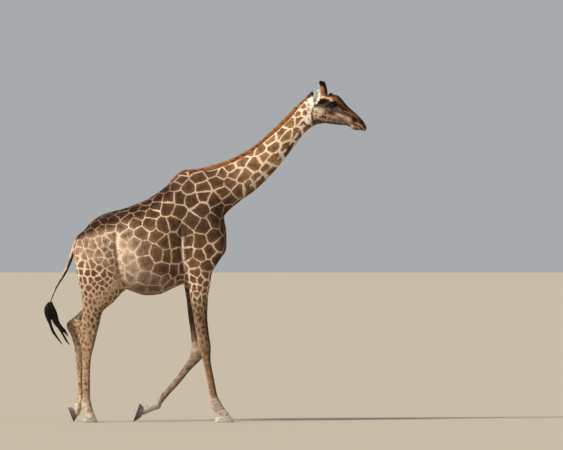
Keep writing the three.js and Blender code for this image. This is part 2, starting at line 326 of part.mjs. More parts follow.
// One length of the body as a solid, with a ring at each station and split - 1 more between two. grow swells it all round.
function length(name, split, columns, grow = 0) {
  const spec = LENGTHS[name];
  const st = spec.stations;
  const s = st.map((v) => v.s);
  const of = {};
  for (const key of ["hi", "lo", "y", "outer", "inner", "nHi", "nLo", "mid"]) of[key] = curve(s, st.map((v) => v[key]));
  const first = s[0];
  const last = s[s.length - 1];
  const cosT = Math.cos(rad(spec.tilt));
  const sinT = Math.sin(rad(spec.tilt));
  const rows = [{ s: first - spec.capStart - grow, k: 0 }];
  for (const a of [60, 30]) rows.push({ s: first - (spec.capStart + grow) * Math.sin(rad(a)), k: Math.cos(rad(a)) });
  for (let i = 0; i < (s.length - 1) * split; i++) {
    const [a, b] = [s[Math.floor(i / split)], s[Math.floor(i / split) + 1]];
    rows.push({ s: a + ((b - a) * (i % split)) / split, k: 1 });
  }
  rows.push({ s: last, k: 1 });
  for (const a of [30, 60]) rows.push({ s: last + (spec.capEnd + grow) * Math.sin(rad(a)), k: Math.cos(rad(a)) });
  rows.push({ s: last + spec.capEnd + grow, k: 0 });
  return solid(
    body(rows.length, columns, (r, turn) => {
      const row = rows[r];
      const q = Math.min(Math.max(row.s, first), last);
      const hi = of.hi(q) + grow;
      const lo = of.lo(q) - grow;
      const middle = lo + (hi - lo) * of.mid(q);
      const up = Math.sin(turn);
      const across = Math.cos(turn);
      const n = up > 0 ? of.nHi(q) : of.nLo(q);
      const y0 = of.y(q);
      const out = y0 < 0 ? -1 : 1;
      const wide = (across * out > 0 ? of.outer(q) : of.inner(q)) + grow;
      const h = middle + row.k * (up > 0 ? hi - middle : middle - lo) * power(up, n);
      const y = y0 + row.k * wide * power(across, n);
      return new THREE.Vector3(spec.x + row.s * cosT - h * sinT, y, spec.z + row.s * sinT + h * cosT);
    }),
  );
}

function swelling({ x, y, z, along, across, up, pitch }, columns, rows, grow = 0) {
  const one = (side) => {
    const g = new THREE.SphereGeometry(1, columns, rows);
    g.deleteAttribute("normal");
    g.deleteAttribute("uv");
    g.scale(along + grow, across + grow, up + grow);
    g.rotateY(-rad(pitch));
    g.translate(x, side * y, z);
    return solid(mergeVertices(g, 1e-3));
  };
  return y === 0 ? [one(1)] : [one(1), one(-1)];
}

// ---- The whole body, before it is parted ----------------------------------------------------
function flesh(grow) {
  return union(
    length("trunk", 1, 18, grow),
    length("neck", 1, 14, grow),
    length("head", 1, 14, grow),
    length("fore_right", 1, 10, grow),
    length("hind_right", 1, 10, grow),
    length("fore_left", 1, 10, grow),
    length("fore_left_cannon", 1, 10, grow),
    length("hind_left", 1, 10, grow),
    length("hind_left_gaskin", 1, 10, grow),
    length("hind_left_cannon", 1, 10, grow),
    ["fore_right_pastern", "hind_right_pastern", "fore_left_pastern", "hind_left_pastern"].map((n) => length(n, 1, 8, grow)),
    Object.values(SWELLINGS).map((v) => swelling(v, 8, 6, grow)),
  );
}
const whole = flesh(0);

// ---- Cutting tools --------------------------------------------------------------------------
// A plate with the outline given as x, z pairs in the side view, between two distances across the body.
function prism(outline, y0, y1, swell = 0) {
  const n = outline.length;
  const area = outline.reduce((a, [x, z], i) => a + x * outline[(i + 1) % n][1] - z * outline[(i + 1) % n][0], 0);
  const turn = Math.sign(area);
  const moved = outline.map(([x, z], i) => {
    const [px, pz] = outline[(i + n - 1) % n];
    const [qx, qz] = outline[(i + 1) % n];
    const a = new THREE.Vector2(z - pz, px - x).normalize().multiplyScalar(turn);
    const b = new THREE.Vector2(qz - z, x - qx).normalize().multiplyScalar(turn);
    const bis = a.clone().add(b);
    return new THREE.Vector2(x, z).add(bis.multiplyScalar((2 * swell) / bis.lengthSq()));
  });
  const g = new THREE.ExtrudeGeometry(new THREE.Shape(moved), { depth: y1 - y0 + 2 * swell, bevelEnabled: false });
  g.deleteAttribute("normal");
  g.deleteAttribute("uv");
  g.rotateX(Math.PI / 2); // shape x, y become x, z, and the depth runs towards -Y
  g.translate(0, y1 + swell, 0);
  return solid(mergeVertices(g, 1e-3));
}

const FAR = 3000;
const CUTS = {
  // the neck leaves the body from the front of the withers to the foot of the throat
  neck: [[-108, 2772], [178, 2200], [420, 1716], [FAR, 1716], [FAR, 4500], [-900, 4500], [-300, 3200]],
  // the head starts behind the ears and the angle of the jaw
  head: [[1144, 3640], [1206, 3240], [1220, 3000], [FAR, 3000], [FAR, 4500], [1144, 4500]],
  fore_top: [[-262, 1870], [-222, 1680], [-178, 1500], [-172, 1420], [-60, 1230], [FAR, 1230], [FAR, 1870]],
  fore_low: [[-172, 1425], [-1000, 1000], [-1000, -500], [FAR, -500], [FAR, 1425]],
  fore_left_top: [[-300, 1870], [-268, 1680], [-240, 1500], [-222, 1450], [-60, 1230], [FAR, 1230], [FAR, 1870]],
  fore_left_low: [[-222, 1452], [-1000, 1000], [-1000, -500], [FAR, -500], [FAR, 1452]],
  hind_top: [[-846, 1470], [-905, 1760], [-945, 2000], [-1040, 2150], [-1200, 2180], [-1330, 2080], [-1400, 1960], [-1460, 1800], [-1500, 1300], [-846, 1300]],
  hind_low: [[-846, 1462], [-846, -500], [-2000, -500], [-2000, 1200], [-1500, 1400]],
};
const side = (name, y0, y1, swell = 0) => prism(CUTS[name], y0, y1, swell);
const legTool = (top, low, sign, inner, swell = 0) => {
  const span = (a, b) => (sign > 0 ? [a, b] : [-b, -a]);
  return union(prism(CUTS[top], ...span(inner, 900), swell), prism(CUTS[low], ...span(2, 900), swell));
};
const tools = (swell) => ({
  neck: side("neck", -900, 900, swell),
  head: side("head", -900, 900, swell),
  fore_right: legTool("fore_top", "fore_low", -1, 50, swell),
  fore_left: legTool("fore_left_top", "fore_left_low", 1, 50, swell),
  hind_right: legTool("hind_top", "hind_low", -1, 75, swell),
  hind_left: legTool("hind_top", "hind_low", 1, 75, swell),
});
const cut = tools(0);
const clear = tools(GAP);

const largest = (s) => s.decompose().sort((a, b) => b.volume() - a.volume())[0];

// ---- Hooves ---------------------------------------------------------------------------------
// One claw of a cloven hoof: the flat sole below, the wall sloping in to the coronet, straight on the side of the cleft.
function claw(foot, which, grow = 0) {
  const f = FOOT[foot];
  const c = CLAW[f.claw];
  const columns = 10;
  const levels = [0, 0.08, 0.5, 1];
  const cosT = Math.cos(rad(f.tilt));
  const sinT = Math.sin(rad(f.tilt));
  const point = (t, turn, k) => {
    // along from heel to toe, across from the cleft outwards
    const along = (0.5 + 0.5 * k * power(Math.cos(turn), 2.6)) * 1;
    const sole = c.length - (t < 0.05 ? 3 : 0);
    const x = THREE.MathUtils.lerp(sole * along, THREE.MathUtils.lerp(c.coronetHeel, c.coronetToe, along), t);
    const narrow = 1 - 0.5 * along ** 3;
    const wide = THREE.MathUtils.lerp(c.width, c.width * 0.9, t) * narrow;
    const y = (wide / 2) * (1 + k * power(Math.sin(turn), 2.8));
    const z = t * THREE.MathUtils.lerp(c.heelHeight, c.toeHeight, along);
    return [x, y + c.split, z];
  };
  const rows = levels.length + 2;
  const made = solid(
    body(rows, columns, (r, turn) => {
      const k = r === 0 || r === rows - 1 ? 0 : 1;
      const t = levels[Math.min(Math.max(r - 1, 0), levels.length - 1)];
      let [x, y, z] = point(t, turn, k);
      if (grow) {
        x += k * grow * Math.cos(turn);
        y += k * grow * Math.sin(turn);
        z += t > 0.5 ? grow : -grow;
      }
      return new THREE.Vector3(f.x + x * cosT - z * sinT, f.y + which * y, f.z + x * sinT + z * cosT);
    }),
  );
  return made.subtract(prism([[-FAR, 0], [FAR, 0], [FAR, -900], [-FAR, -900]], -900, 900));
}

// ---- Ears, ossicones, eyes, mane and tuft ----------------------------------------------------
// An ear is a leaf with a hollow facing out and back.
function ear(sign, grow = 0) {
  const base = new THREE.Vector3(EAR.x, sign * EAR.y, EAR.z);
  const tip = new THREE.Vector3(EAR.tipX, sign * EAR.tipY, EAR.tipZ);
  const along = tip.clone().sub(base);
  const long = along.length();
  along.normalize();
  const across = new THREE.Vector3(0.9, sign * 0.28, -0.1);
  across.addScaledVector(along, -across.dot(along)).normalize();
  const hollow = new THREE.Vector3().crossVectors(across, along).normalize();
  if (hollow.y * sign < 0) hollow.negate();
  const rows = 9;
  const shape = curve([0, 0.12, 0.4, 0.7, 0.9, 1], [0.34, 0.5, 1, 0.86, 0.42, 0.06]);
  return solid(
    body(rows, 10, (r, turn) => {
      const u = r / (rows - 1);
      const k = r === 0 || r === rows - 1 ? 0 : 1;
      const v = Math.cos(turn) * k;
      const wide = EAR.width * shape(u);
      const depth = EAR.cup * shape(u) * (1 - v * v) * (1 - 0.25 * u);
      const thick = (EAR.thick / 2) * (0.35 + 0.65 * (1 - u)) + 1.2;
      return base
        .clone()
        .addScaledVector(along, u * long)
        .addScaledVector(across, (wide + grow) * v)
        .addScaledVector(hollow, -depth + (thick + grow) * Math.sin(turn) * k);
    }),
  );
}

function ossicone(sign, grow = 0) {
  const o = OSSICONE;
  const c = Math.cos(rad(o.tilt));
  const s = Math.sin(rad(o.tilt));
  const size = curve([0, 0.2, 0.55, 0.85, 1], [o.base * 1.12, o.base * 0.96, o.middle, o.knob, o.knob * 0.8]);
  const steps = [-0.16, -0.16, 0.1, 0.32, 0.54, 0.74, 0.9, 1, 1.05, 1.08];
  const shrink = [0, 1, 1, 1, 1, 1, 0.98, 0.82, 0.56, 0];
  return solid(
    body(steps.length, 8, (r, turn) => {
      const u = steps[r];
      const w = (size(Math.min(Math.max(u, 0), 1)) + grow) * shrink[r];
      const l = u * o.length;
      const h = w * Math.sin(turn) + o.bend * Math.max(u, 0) ** 4;
      return new THREE.Vector3(o.x + l * c - h * s, sign * (o.y + o.splay * u) + o.side * w * Math.cos(turn), o.z + l * s + h * c);
    }),
  );
}

function eyeball(sign, grow = 0) {
  const g = new THREE.SphereGeometry(EYE.r + grow, 10, 6);
  g.rotateX(Math.PI / 2);
  g.deleteAttribute("normal");
  g.deleteAttribute("uv");
  g.translate(EYE.x, sign * EYE.y, EYE.z);
  return solid(mergeVertices(g, 1e-3));
}

function mane() {
  const spec = LENGTHS.neck;
  const cosT = Math.cos(rad(spec.tilt));
  const sinT = Math.sin(rad(spec.tilt));
  const top = curve(MANE.map((v) => v.s), MANE.map((v) => v.hi));
  const rings = 15;
  const first = MANE[0].s;
  const last = MANE[MANE.length - 1].s;
  return solid(
    body(rings + 2, 6, (r, turn) => {
      const i = Math.min(Math.max(r - 1, 0), rings - 1);
      const s = first + ((last - first) * i) / (rings - 1);
      const k = r === 0 || r === rings + 1 ? 0 : 1;
      const hi = top(s);
      const tall = 96;
      const up = k * Math.sin(turn);
      const h = hi - tall / 2 + (tall / 2) * power(up, 3);
      const y = k * MANE_HALF * power(Math.cos(turn), 2.4) * (up > 0 ? 1 - 0.45 * up : 1);
      return new THREE.Vector3(spec.x + s * cosT - h * sinT, y, spec.z + s * sinT + h * cosT);
    }),
  );
}

// ---- Parting --------------------------------------------------------------------------------
const claws = {};
const clawRoom = {};
for (const foot of Object.keys(FOOT)) {
  claws[foot] = [claw(foot, 1), claw(foot, -1)];
  clawRoom[foot] = union(claw(foot, 1, GAP), claw(foot, -1, GAP));
}
const SIDES = { left: 1, right: -1 };
const eyeRoom = union(eyeball(1, GAP), eyeball(-1, GAP));
const swollen = flesh(GAP);

const floor = prism([[-FAR, 0], [FAR, 0], [FAR, -900], [-FAR, -900]], -900, 900);
const legs = {};
for (const name of Object.keys(FOOT)) legs[name] = largest(whole.intersect(cut[name]).subtract(clawRoom[name]).subtract(floor));

const neckPiece = largest(whole.intersect(cut.neck).subtract(clear.head));
const headPiece = largest(whole.intersect(cut.head).subtract(eyeRoom));
const tuft = (grow) => union(["tuft_rear", "tuft_front", "tuft_low"].map((n) => length(n, 1, 6, grow)));
const tailPiece = largest(length("tail", 1, 8).subtract(swollen).subtract(tuft(GAP)));
const trunkPiece = largest(
  whole
    .subtract(clear.neck)
    .subtract(clear.fore_right)
    .subtract(clear.fore_left)
    .subtract(clear.hind_right)
    .subtract(clear.hind_left),
);

const root = new THREE.Group();
const paint = (color, roughness, metalness = 0) => new THREE.MeshStandardMaterial({ color, roughness, metalness });
const hide = paint(0x9c7a58, 0.85);
const cream = paint(0xd8c3a4, 0.9);
const russet = paint(0x7a4322, 0.9);
const black = paint(0x18120f, 0.75);
const horn = paint(0x6f665c, 0.6);
const wet = paint(0x120c09, 0.15);
function add(name, made, material) {
  const m = made.getMesh();
  const n = m.numProp;
  const v = new Float32Array(m.numVert * 3);
  for (let i = 0; i < m.numVert; i++) v.set(m.vertProperties.subarray(i * n, i * n + 3), i * 3);
  const g = new THREE.BufferGeometry();
  g.setAttribute("position", new THREE.BufferAttribute(v, 3));
  g.setIndex(new THREE.BufferAttribute(new Uint32Array(m.triVerts), 1));
  g.computeVertexNormals();
  const mesh = new THREE.Mesh(g, material);
  mesh.name = name;
  mesh.position.x = SHIFT_X;
  root.add(mesh);
}

add("trunk", trunkPiece, hide);
add("neck", neckPiece, hide);
add("head", headPiece, hide);
add("tail", tailPiece, cream);
add("tail_tuft", largest(tuft(0)), black);
add("mane", largest(mane().subtract(swollen)), russet);
for (const [foot, leg] of Object.entries(legs)) {
  const [legEnd, legSide] = foot.split("_");
  add("leg_" + foot, leg, hide);
  claws[foot].forEach((c, i) => add("hoof_" + foot + (i === (legSide === "left" ? 0 : 1) ? "_outer" : "_inner"), largest(c), horn));
}
for (const [name, sign] of Object.entries(SIDES)) {
  add("ear_" + name, largest(ear(sign).subtract(swollen)), cream);
  add("ossicone_" + name, largest(ossicone(sign).subtract(swollen)), russet);
  add("eye_" + name, eyeball(sign), wet);
}

export default root;
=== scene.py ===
import math

import bpy
import numpy as np
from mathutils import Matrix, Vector


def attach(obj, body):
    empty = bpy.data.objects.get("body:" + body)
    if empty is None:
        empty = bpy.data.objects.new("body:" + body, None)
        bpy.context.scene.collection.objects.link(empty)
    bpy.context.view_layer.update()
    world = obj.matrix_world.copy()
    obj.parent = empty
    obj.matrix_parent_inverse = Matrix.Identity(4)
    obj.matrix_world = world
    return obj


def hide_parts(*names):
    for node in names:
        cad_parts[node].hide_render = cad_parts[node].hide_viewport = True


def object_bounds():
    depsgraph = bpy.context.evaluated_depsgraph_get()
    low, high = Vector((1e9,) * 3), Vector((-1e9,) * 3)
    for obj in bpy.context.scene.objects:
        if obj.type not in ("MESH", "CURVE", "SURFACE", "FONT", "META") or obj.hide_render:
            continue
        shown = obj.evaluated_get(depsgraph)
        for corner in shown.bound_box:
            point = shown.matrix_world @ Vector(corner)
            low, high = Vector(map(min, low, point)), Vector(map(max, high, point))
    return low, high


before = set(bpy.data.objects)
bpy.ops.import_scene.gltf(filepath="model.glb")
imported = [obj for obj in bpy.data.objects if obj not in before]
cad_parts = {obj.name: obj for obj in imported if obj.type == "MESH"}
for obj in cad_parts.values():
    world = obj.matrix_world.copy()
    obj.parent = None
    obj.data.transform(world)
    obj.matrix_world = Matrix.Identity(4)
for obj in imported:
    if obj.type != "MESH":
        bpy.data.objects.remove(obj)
cad_low, cad_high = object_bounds()
cad_low, cad_high = list(cad_low), list(cad_high)

# ---- The body's form -------------------------------------------------------------------------
# Millimetres, with x the way it walks, y to its left and z up, before the shift that centres its box.
SHIFT_X = -7.3
EYE = (1404.0, 93.0, 3485.0, 24.0)
# Each length: where it starts, its tilt, its two round ends, and rows of
# (station, upper edge, lower edge, middle y, outer half width, inner half width, roundness above, below, waist).
LENGTHS = {
    "trunk": (-1428, 1892, 0, 28, 16, [
        (11, 79, -122, 0, 84, 84, 2, 2, 0.5), (55, 163, -248, 0, 182, 182, 2, 2, 0.5),
        (121, 244, -341, 0, 232, 232, 2, 2, 0.48), (220, 346, -388, 0, 264, 264, 1.9, 2, 0.5),
        (341, 408, -396, 0, 297, 297, 1.9, 2.1, 0.52), (484, 445, -403, 0, 324, 324, 1.9, 2.2, 0.48),
        (627, 490, -459, 0, 352, 352, 1.95, 2.2, 0.45), (792, 559, -504, 0, 374, 374, 2, 2.2, 0.43),
        (935, 651, -490, 0, 363, 363, 2, 2.2, 0.43), (1067, 760, -429, 0, 319, 319, 2, 2.1, 0.42),
        (1155, 836, -390, 0, 280, 280, 1.9, 2.1, 0.42), (1232, 861, -365, 0, 248, 248, 1.8, 2, 0.4),
        (1342, 855, -320, 0, 231, 231, 1.8, 2, 0.42), (1452, 794, -239, 0, 214, 214, 1.9, 2, 0.44),
        (1551, 638, -148, 0, 182, 182, 2, 2, 0.46), (1617, 443, -77, 0, 138, 138, 2, 2, 0.5),
        (1650, 279, -6, 0, 94, 94, 2, 2, 0.5)]),
    "neck": (112, 2530, 40, 44, 30, [
        (-198, 361, -310, 0, 187, 187, 1.8, 2, 0.45), (-44, 317, -259, 0, 192, 192, 1.8, 2, 0.45),
        (132, 213, -256, 0, 176, 176, 1.8, 2, 0.45), (330, 139, -274, 0, 139, 139, 1.85, 2, 0.45),
        (572, 86, -258, 0, 112, 112, 1.9, 2, 0.45), (814, 79, -219, 0, 97, 97, 1.95, 2, 0.46),
        (1034, 84, -169, 0, 86, 86, 2, 2, 0.48), (1210, 103, -136, 0, 81, 81, 2, 2, 0.5),
        (1320, 127, -142, 0, 81, 81, 2, 2, 0.5), (1408, 138, -168, 0, 77, 77, 2, 2, 0.5),
        (1484, 141, -110, 0, 68, 68, 2, 2, 0.5)]),
    "head": (1223, 3454, -24, 38, 9, [
        (-55, 120, -124, 0, 66, 66, 2.1, 2, 0.55), (11, 148, -146, 0, 90, 90, 2.2, 2, 0.58),
        (88, 189, -135, 0, 110, 110, 2.3, 2, 0.6), (165, 221, -111, 0, 117, 117, 2.4, 2, 0.62),
        (242, 194, -90, 0, 101, 101, 2.3, 2, 0.56), (319, 160, -65, 0, 77, 77, 2.2, 2, 0.5),
        (396, 135, -38, 0, 62, 62, 2.1, 2, 0.5), (473, 110, -34, 0, 55, 55, 2.1, 2.1, 0.5),
        (539, 80, -19, 0, 55, 55, 2.2, 2.2, 0.5), (594, 33, -14, 0, 48, 48, 2.2, 2.2, 0.5)]),
    "fore_right": (-53, 2442, -90, 130, 28, [
        (0, 69, -279, -126, 36, 77, 2, 2, 0.5), (154, 154, -286, -138, 84, 88, 2, 2, 0.5),
        (308, 218, -259, -143, 106, 99, 2, 2, 0.5), (473, 282, -215, -143, 110, 99, 2, 2, 0.5),
        (594, 259, -204, -143, 103, 88, 2, 2, 0.5), (704, 194, -193, -143, 97, 82, 2, 2, 0.48),
        (803, 137, -162, -141, 90, 77, 2, 2, 0.48), (924, 118, -130, -136, 79, 73, 2, 2, 0.5),
        (1078, 94, -108, -132, 70, 66, 2, 2, 0.52), (1276, 87, -74, -125, 60, 58, 2, 2, 0.5),
        (1474, 104, -41, -119, 55, 55, 2.2, 2, 0.5), (1628, 125, -9, -114, 56, 56, 2.5, 2.1, 0.5),
        (1738, 121, 23, -111, 47, 47, 2.4, 2.1, 0.5), (1837, 134, 46, -109, 42, 42, 2.2, 2.2, 0.5),
        (2002, 167, 79, -106, 40, 40, 2.1, 2.3, 0.5), (2123, 190, 101, -103, 43, 43, 2.1, 2.2, 0.5),
        (2222, 218, 118, -102, 52, 52, 2.1, 2.1, 0.5), (2277, 235, 139, -101, 51, 51, 2.1, 2.1, 0.5)]),
    "hind_right": (-1263, 2200, -90, 70, 28, [
        (66, 194, -16, -158, 30, 88, 2, 2, 0.5), (154, 279, -130, -190, 76, 110, 2, 2, 0.5),
        (308, 326, -162, -198, 114, 110, 2, 2, 0.5), (484, 356, -158, -189, 123, 104, 2, 2, 0.48),
        (638, 394, -132, -180, 110, 94, 2, 2, 0.48), (737, 398, -106, -176, 101, 88, 2, 2, 0.46),
        (792, 345, -95, -174, 97, 84, 2, 2, 0.45), (869, 280, -83, -170, 88, 79, 2, 2, 0.45),
        (990, 145, -76, -165, 73, 68, 2, 1.8, 0.55), (1111, 116, -100, -160, 57, 55, 2, 1.6, 0.6),
        (1199, 93, -130, -156, 50, 50, 2.1, 1.7, 0.6), (1276, 74, -125, -154, 51, 51, 2.2, 1.9, 0.55),
        (1375, 51, -93, -152, 46, 46, 2.2, 2, 0.5), (1496, 20, -82, -150, 41, 41, 2.2, 2.1, 0.5),
        (1716, 10, -78, -147, 38, 38, 2.1, 2.2, 0.5), (1892, 10, -78, -146, 41, 41, 2.1, 2.2, 0.5),
        (2013, 24, -88, -145, 51, 51, 2.1, 2.1, 0.5), (2068, 33, -75, -145, 50, 50, 2.1, 2.1, 0.5)]),
    "fore_left": (-53, 2442, -90, 130, 44, [
        (0, 69, -279, 126, 36, 77, 2, 2, 0.5), (154, 154, -286, 138, 84, 88, 2, 2, 0.5),
        (308, 217, -273, 143, 106, 99, 2, 2, 0.5), (473, 264, -257, 143, 110, 99, 2, 2, 0.5),
        (594, 243, -250, 143, 103, 88, 2, 2, 0.5), (704, 169, -233, 143, 95, 82, 2, 2, 0.48),
        (803, 108, -209, 143, 88, 77, 2, 2, 0.48), (924, 75, -184, 145, 77, 73, 2, 2, 0.5),
        (1078, 47, -157, 152, 68, 66, 2, 2, 0.52), (1276, 33, -135, 161, 60, 58, 2, 2, 0.5),
        (1474, 38, -108, 169, 55, 55, 2.2, 2, 0.5), (1617, 49, -97, 174, 56, 56, 2.4, 2.1, 0.5),
        (1694, 44, -107, 176, 53, 53, 2.4, 2.1, 0.5)]),
    "fore_left_cannon": (-102, 726, -128.5, 44, 44, [
        (-33, 78, -67, 176, 55, 55, 2.3, 2.1, 0.5), (66, 67, -43, 176, 48, 48, 2.4, 2.1, 0.5),
        (165, 55, -33, 178, 42, 42, 2.2, 2.2, 0.5), (352, 53, -25, 182, 40, 40, 2.1, 2.3, 0.5),
        (528, 40, -33, 185, 43, 43, 2.1, 2.2, 0.5), (627, 38, -39, 187, 51, 51, 2.1, 2.1, 0.5)]),
    "hind_left": (-1263, 2200, -90, 70, 66, [
        (66, 189, -16, 158, 30, 88, 2, 2, 0.5), (154, 243, -127, 190, 76, 110, 2, 2, 0.5),
        (308, 263, -153, 198, 114, 110, 2, 2, 0.5), (484, 270, -143, 189, 123, 104, 2, 2, 0.48),
        (638, 266, -127, 183, 110, 94, 2, 2, 0.48), (770, 230, -110, 178, 99, 88, 2, 2, 0.46),
        (880, 156, -99, 176, 86, 79, 2, 2, 0.46)]),
    "hind_left_gaskin": (-1230, 1276, -137, 55, 55, [
        (-66, 58, -88, 176, 90, 81, 2, 2, 0.5), (66, 80, -60, 176, 77, 73, 2, 1.8, 0.55),
        (176, 108, -57, 176, 62, 59, 2, 1.7, 0.6), (286, 147, -61, 176, 51, 51, 2.1, 1.8, 0.6)]),
    "hind_left_cannon": (-1384, 1078, -90, 22, 44, [
        (-14, 20, -136, 176, 40, 40, 2, 2, 0.5), (22, 61, -150, 176, 48, 48, 2.1, 2, 0.52), (121, 54, -99, 178, 48, 48, 2.2, 2, 0.5),
        (242, 41, -64, 180, 42, 42, 2.2, 2.1, 0.5), (462, 37, -37, 185, 38, 38, 2.1, 2.2, 0.5),
        (704, 37, -19, 189, 41, 41, 2.1, 2.2, 0.5), (847, 50, -28, 191, 51, 51, 2.1, 2.1, 0.5)]),
    "fore_right_pastern": (126, 204, -53.5, 44, 33, [
        (0, 51, -60, -101, 50, 50, 2.1, 2.1, 0.5), (84, 48, -68, -101, 54, 54, 2.1, 2.1, 0.5),
        (168, 50, -80, -101, 64, 64, 2.1, 2.1, 0.5)]),
    "hind_right_pastern": (-1291, 182, -64.5, 44, 33, [
        (0, 40, -56, -145, 47, 47, 2.1, 2.1, 0.5), (64, 36, -64, -145, 48, 48, 2.1, 2.1, 0.5),
        (128, 40, -72, -145, 55, 55, 2.1, 2.1, 0.5)]),
    "fore_left_pastern": (-526, 178, -160.5, 44, 33, [
        (0, 46, -46, 187, 50, 50, 2.1, 2.1, 0.5), (85, 42, -42, 187, 54, 54, 2.1, 2.1, 0.5),
        (171, 54, -48, 187, 62, 62, 2.1, 2.1, 0.5)]),
    "hind_left_pastern": (-1375, 214, -111.1, 44, 33, [
        (0, 44, -48, 191, 47, 47, 2.1, 2.1, 0.5), (64, 42, -46, 191, 48, 48, 2.1, 2.1, 0.5),
        (128, 46, -50, 191, 55, 55, 2.1, 2.1, 0.5)]),
    "tail": (-1411, 1969, -113.5, 20, 16, [
        (-90, 34, -21, 0, 44, 44, 2, 2, 0.5), (-20, 26, -32, 0, 38, 38, 2, 2, 0.5),
        (60, 17, -29, 0, 30, 30, 2, 2, 0.5), (140, 27, -19, 0, 25, 25, 2, 2, 0.5),
        (220, 33, -12, 0, 21, 21, 2, 2, 0.5), (310, 33, -6, 0, 18, 18, 2, 2, 0.5),
        (400, 23, -10, 0, 16, 16, 2, 2, 0.5), (500, 6, -19, 0, 13, 13, 2, 2, 0.5),
        (600, -4, -25, 0, 11, 11, 2, 2, 0.5), (684, 0, -21, 0, 12, 12, 2, 2, 0.5)]),
}


def curve_table(xs, ys, step, spread):
    """A curve through the rows that never overshoots, softened along its length."""
    xs, ys = np.asarray(xs, float), np.asarray(ys, float)
    h = np.diff(xs)
    d = np.diff(ys) / h
    m = np.zeros(len(xs))
    for i in range(1, len(xs) - 1):
        if d[i - 1] * d[i] > 0:
            a, b = 2 * h[i] + h[i - 1], h[i] + 2 * h[i - 1]
            m[i] = (a + b) / (a / d[i - 1] + b / d[i])
    m[0], m[-1] = d[0], d[-1]
    q = np.arange(xs[0], xs[-1] + step, step)
    q[-1] = min(q[-1], xs[-1])
    i = np.clip(np.searchsorted(xs, q, side="right") - 1, 0, len(h) - 1)
    t = (q - xs[i]) / h[i]
    v = (ys[i] * (1 + 2 * t) * (1 - t) ** 2 + m[i] * h[i] * t * (1 - t) ** 2
         + ys[i + 1] * t * t * (3 - 2 * t) + m[i + 1] * h[i] * t * t * (t - 1))
    if spread > 0:
        n = int(3 * spread / step)
        k = np.exp(-0.5 * (np.arange(-n, n + 1) * step / spread) ** 2)
        k /= k.sum()
        left = 2 * v[0] - v[1:n + 1][::-1] if len(v) > n else np.full(n, v[0])
        right = 2 * v[-1] - v[-n - 1:-1][::-1] if len(v) > n else np.full(n, v[-1])
        v = np.convolve(np.concatenate([left, v, right]), k, mode="valid")
    return q, v


class Length:
    """One length of the body: distance() is negative inside and about true near its surface."""

    def __init__(self, name, spread=12.0):
        self.name = name
        self.x, self.z, tilt, self.cap0, self.cap1, rows = LENGTHS[name]
        a = math.radians(tilt)
        self.c, self.s = math.cos(a), math.sin(a)
        r = np.array(rows, float)
        self.first, self.last = r[0, 0], r[-1, 0]
        self.q, _ = curve_table(r[:, 0], r[:, 1], 3.0, 0)
        self.v = [curve_table(r[:, 0], r[:, k], 3.0, spread)[1] for k in range(1, 9)]
        self.out = -1.0 if r[:, 3].min() < 0 else 1.0
        hi, lo = r[:, 1].max(), r[:, 2].min()
        corners = [(s, h) for s in (self.first - self.cap0, self.last + self.cap1) for h in (lo, hi)]
        xs = [self.x + s * self.c - h * self.s for s, h in corners]
        zs = [self.z + s * self.s + h * self.c for s, h in corners]
        w = max(r[:, 4].max(), r[:, 5].max())
        self.box = (min(xs), max(xs), r[:, 3].min() - w, r[:, 3].max() + w, min(zs), max(zs))

    def local(self, p):
        dx, dz = p[:, 0] - self.x, p[:, 2] - self.z
        return dx * self.c + dz * self.s, -dx * self.s + dz * self.c

    def at(self, k, s):
        return np.interp(s, self.q, self.v[k])

    def distance(self, p):
        s, h = self.local(p)
        sc = np.clip(s, self.first, self.last)
        hi, lo, y0, outer, inner, nh, nl, mid = (self.at(k, sc) for k in range(8))
        m = lo + (hi - lo) * mid
        dy = p[:, 1] - y0
        dh = h - m
        w = np.where(dy * self.out > 0, outer, inner)
        up = dh > 0
        tall = np.where(up, hi - m, m - lo)
        n = np.where(up, nh, nl)
        ay, ah = np.abs(dy) / w, np.abs(dh) / tall
        big = np.maximum(ay, ah) + 1e-9
        rho = big * ((ay / big) ** n + (ah / big) ** n) ** (1.0 / n)
        ds = s - sc
        cap = np.where(ds > 0, self.cap1, self.cap0)
        rho = np.sqrt(rho * rho + (ds / cap) ** 2)
        size = np.sqrt(dy * dy + dh * dh + ds * ds)
        thin = np.minimum(w, tall)
        return np.where(rho > 0.35, size * (1 - 1 / np.maximum(rho, 1e-6)), -thin * (1 - rho))


class Ball:
    """A rounded swelling with its own half sizes, pitch and yaw."""

    def __init__(self, x, y, z, along, across, up, pitch=0.0, yaw=0.0):
        self.at = np.array([x, y, z], float)
        self.half = np.array([along, across, up], float)
        a, b = math.radians(pitch), math.radians(yaw)
        f = np.array([math.cos(a) * math.cos(b), math.cos(a) * math.sin(b), math.sin(a)])
        l = np.array([-math.sin(b), math.cos(b), 0.0])
        self.m = np.stack([f, l, np.cross(f, l)])
        r = self.half.max()
        self.box = (x - r, x + r, y - r, y + r, z - r, z + r)

    def distance(self, p):
        q = (p - self.at) @ self.m.T
        k0 = np.linalg.norm(q / self.half, axis=1)
        k1 = np.linalg.norm(q / self.half ** 2, axis=1)
        return k0 * (k0 - 1) / np.maximum(k1, 1e-9)


class Dent(Ball):
    """A soft hollow, or a soft swelling when its depth is negative."""

    def __init__(self, depth, *args, **kw):
        super().__init__(*args, **kw)
        self.depth = depth

    def push(self, p):
        q = ((p - self.at) @ self.m.T) / self.half
        return self.depth * np.exp(-(q * q).sum(1))


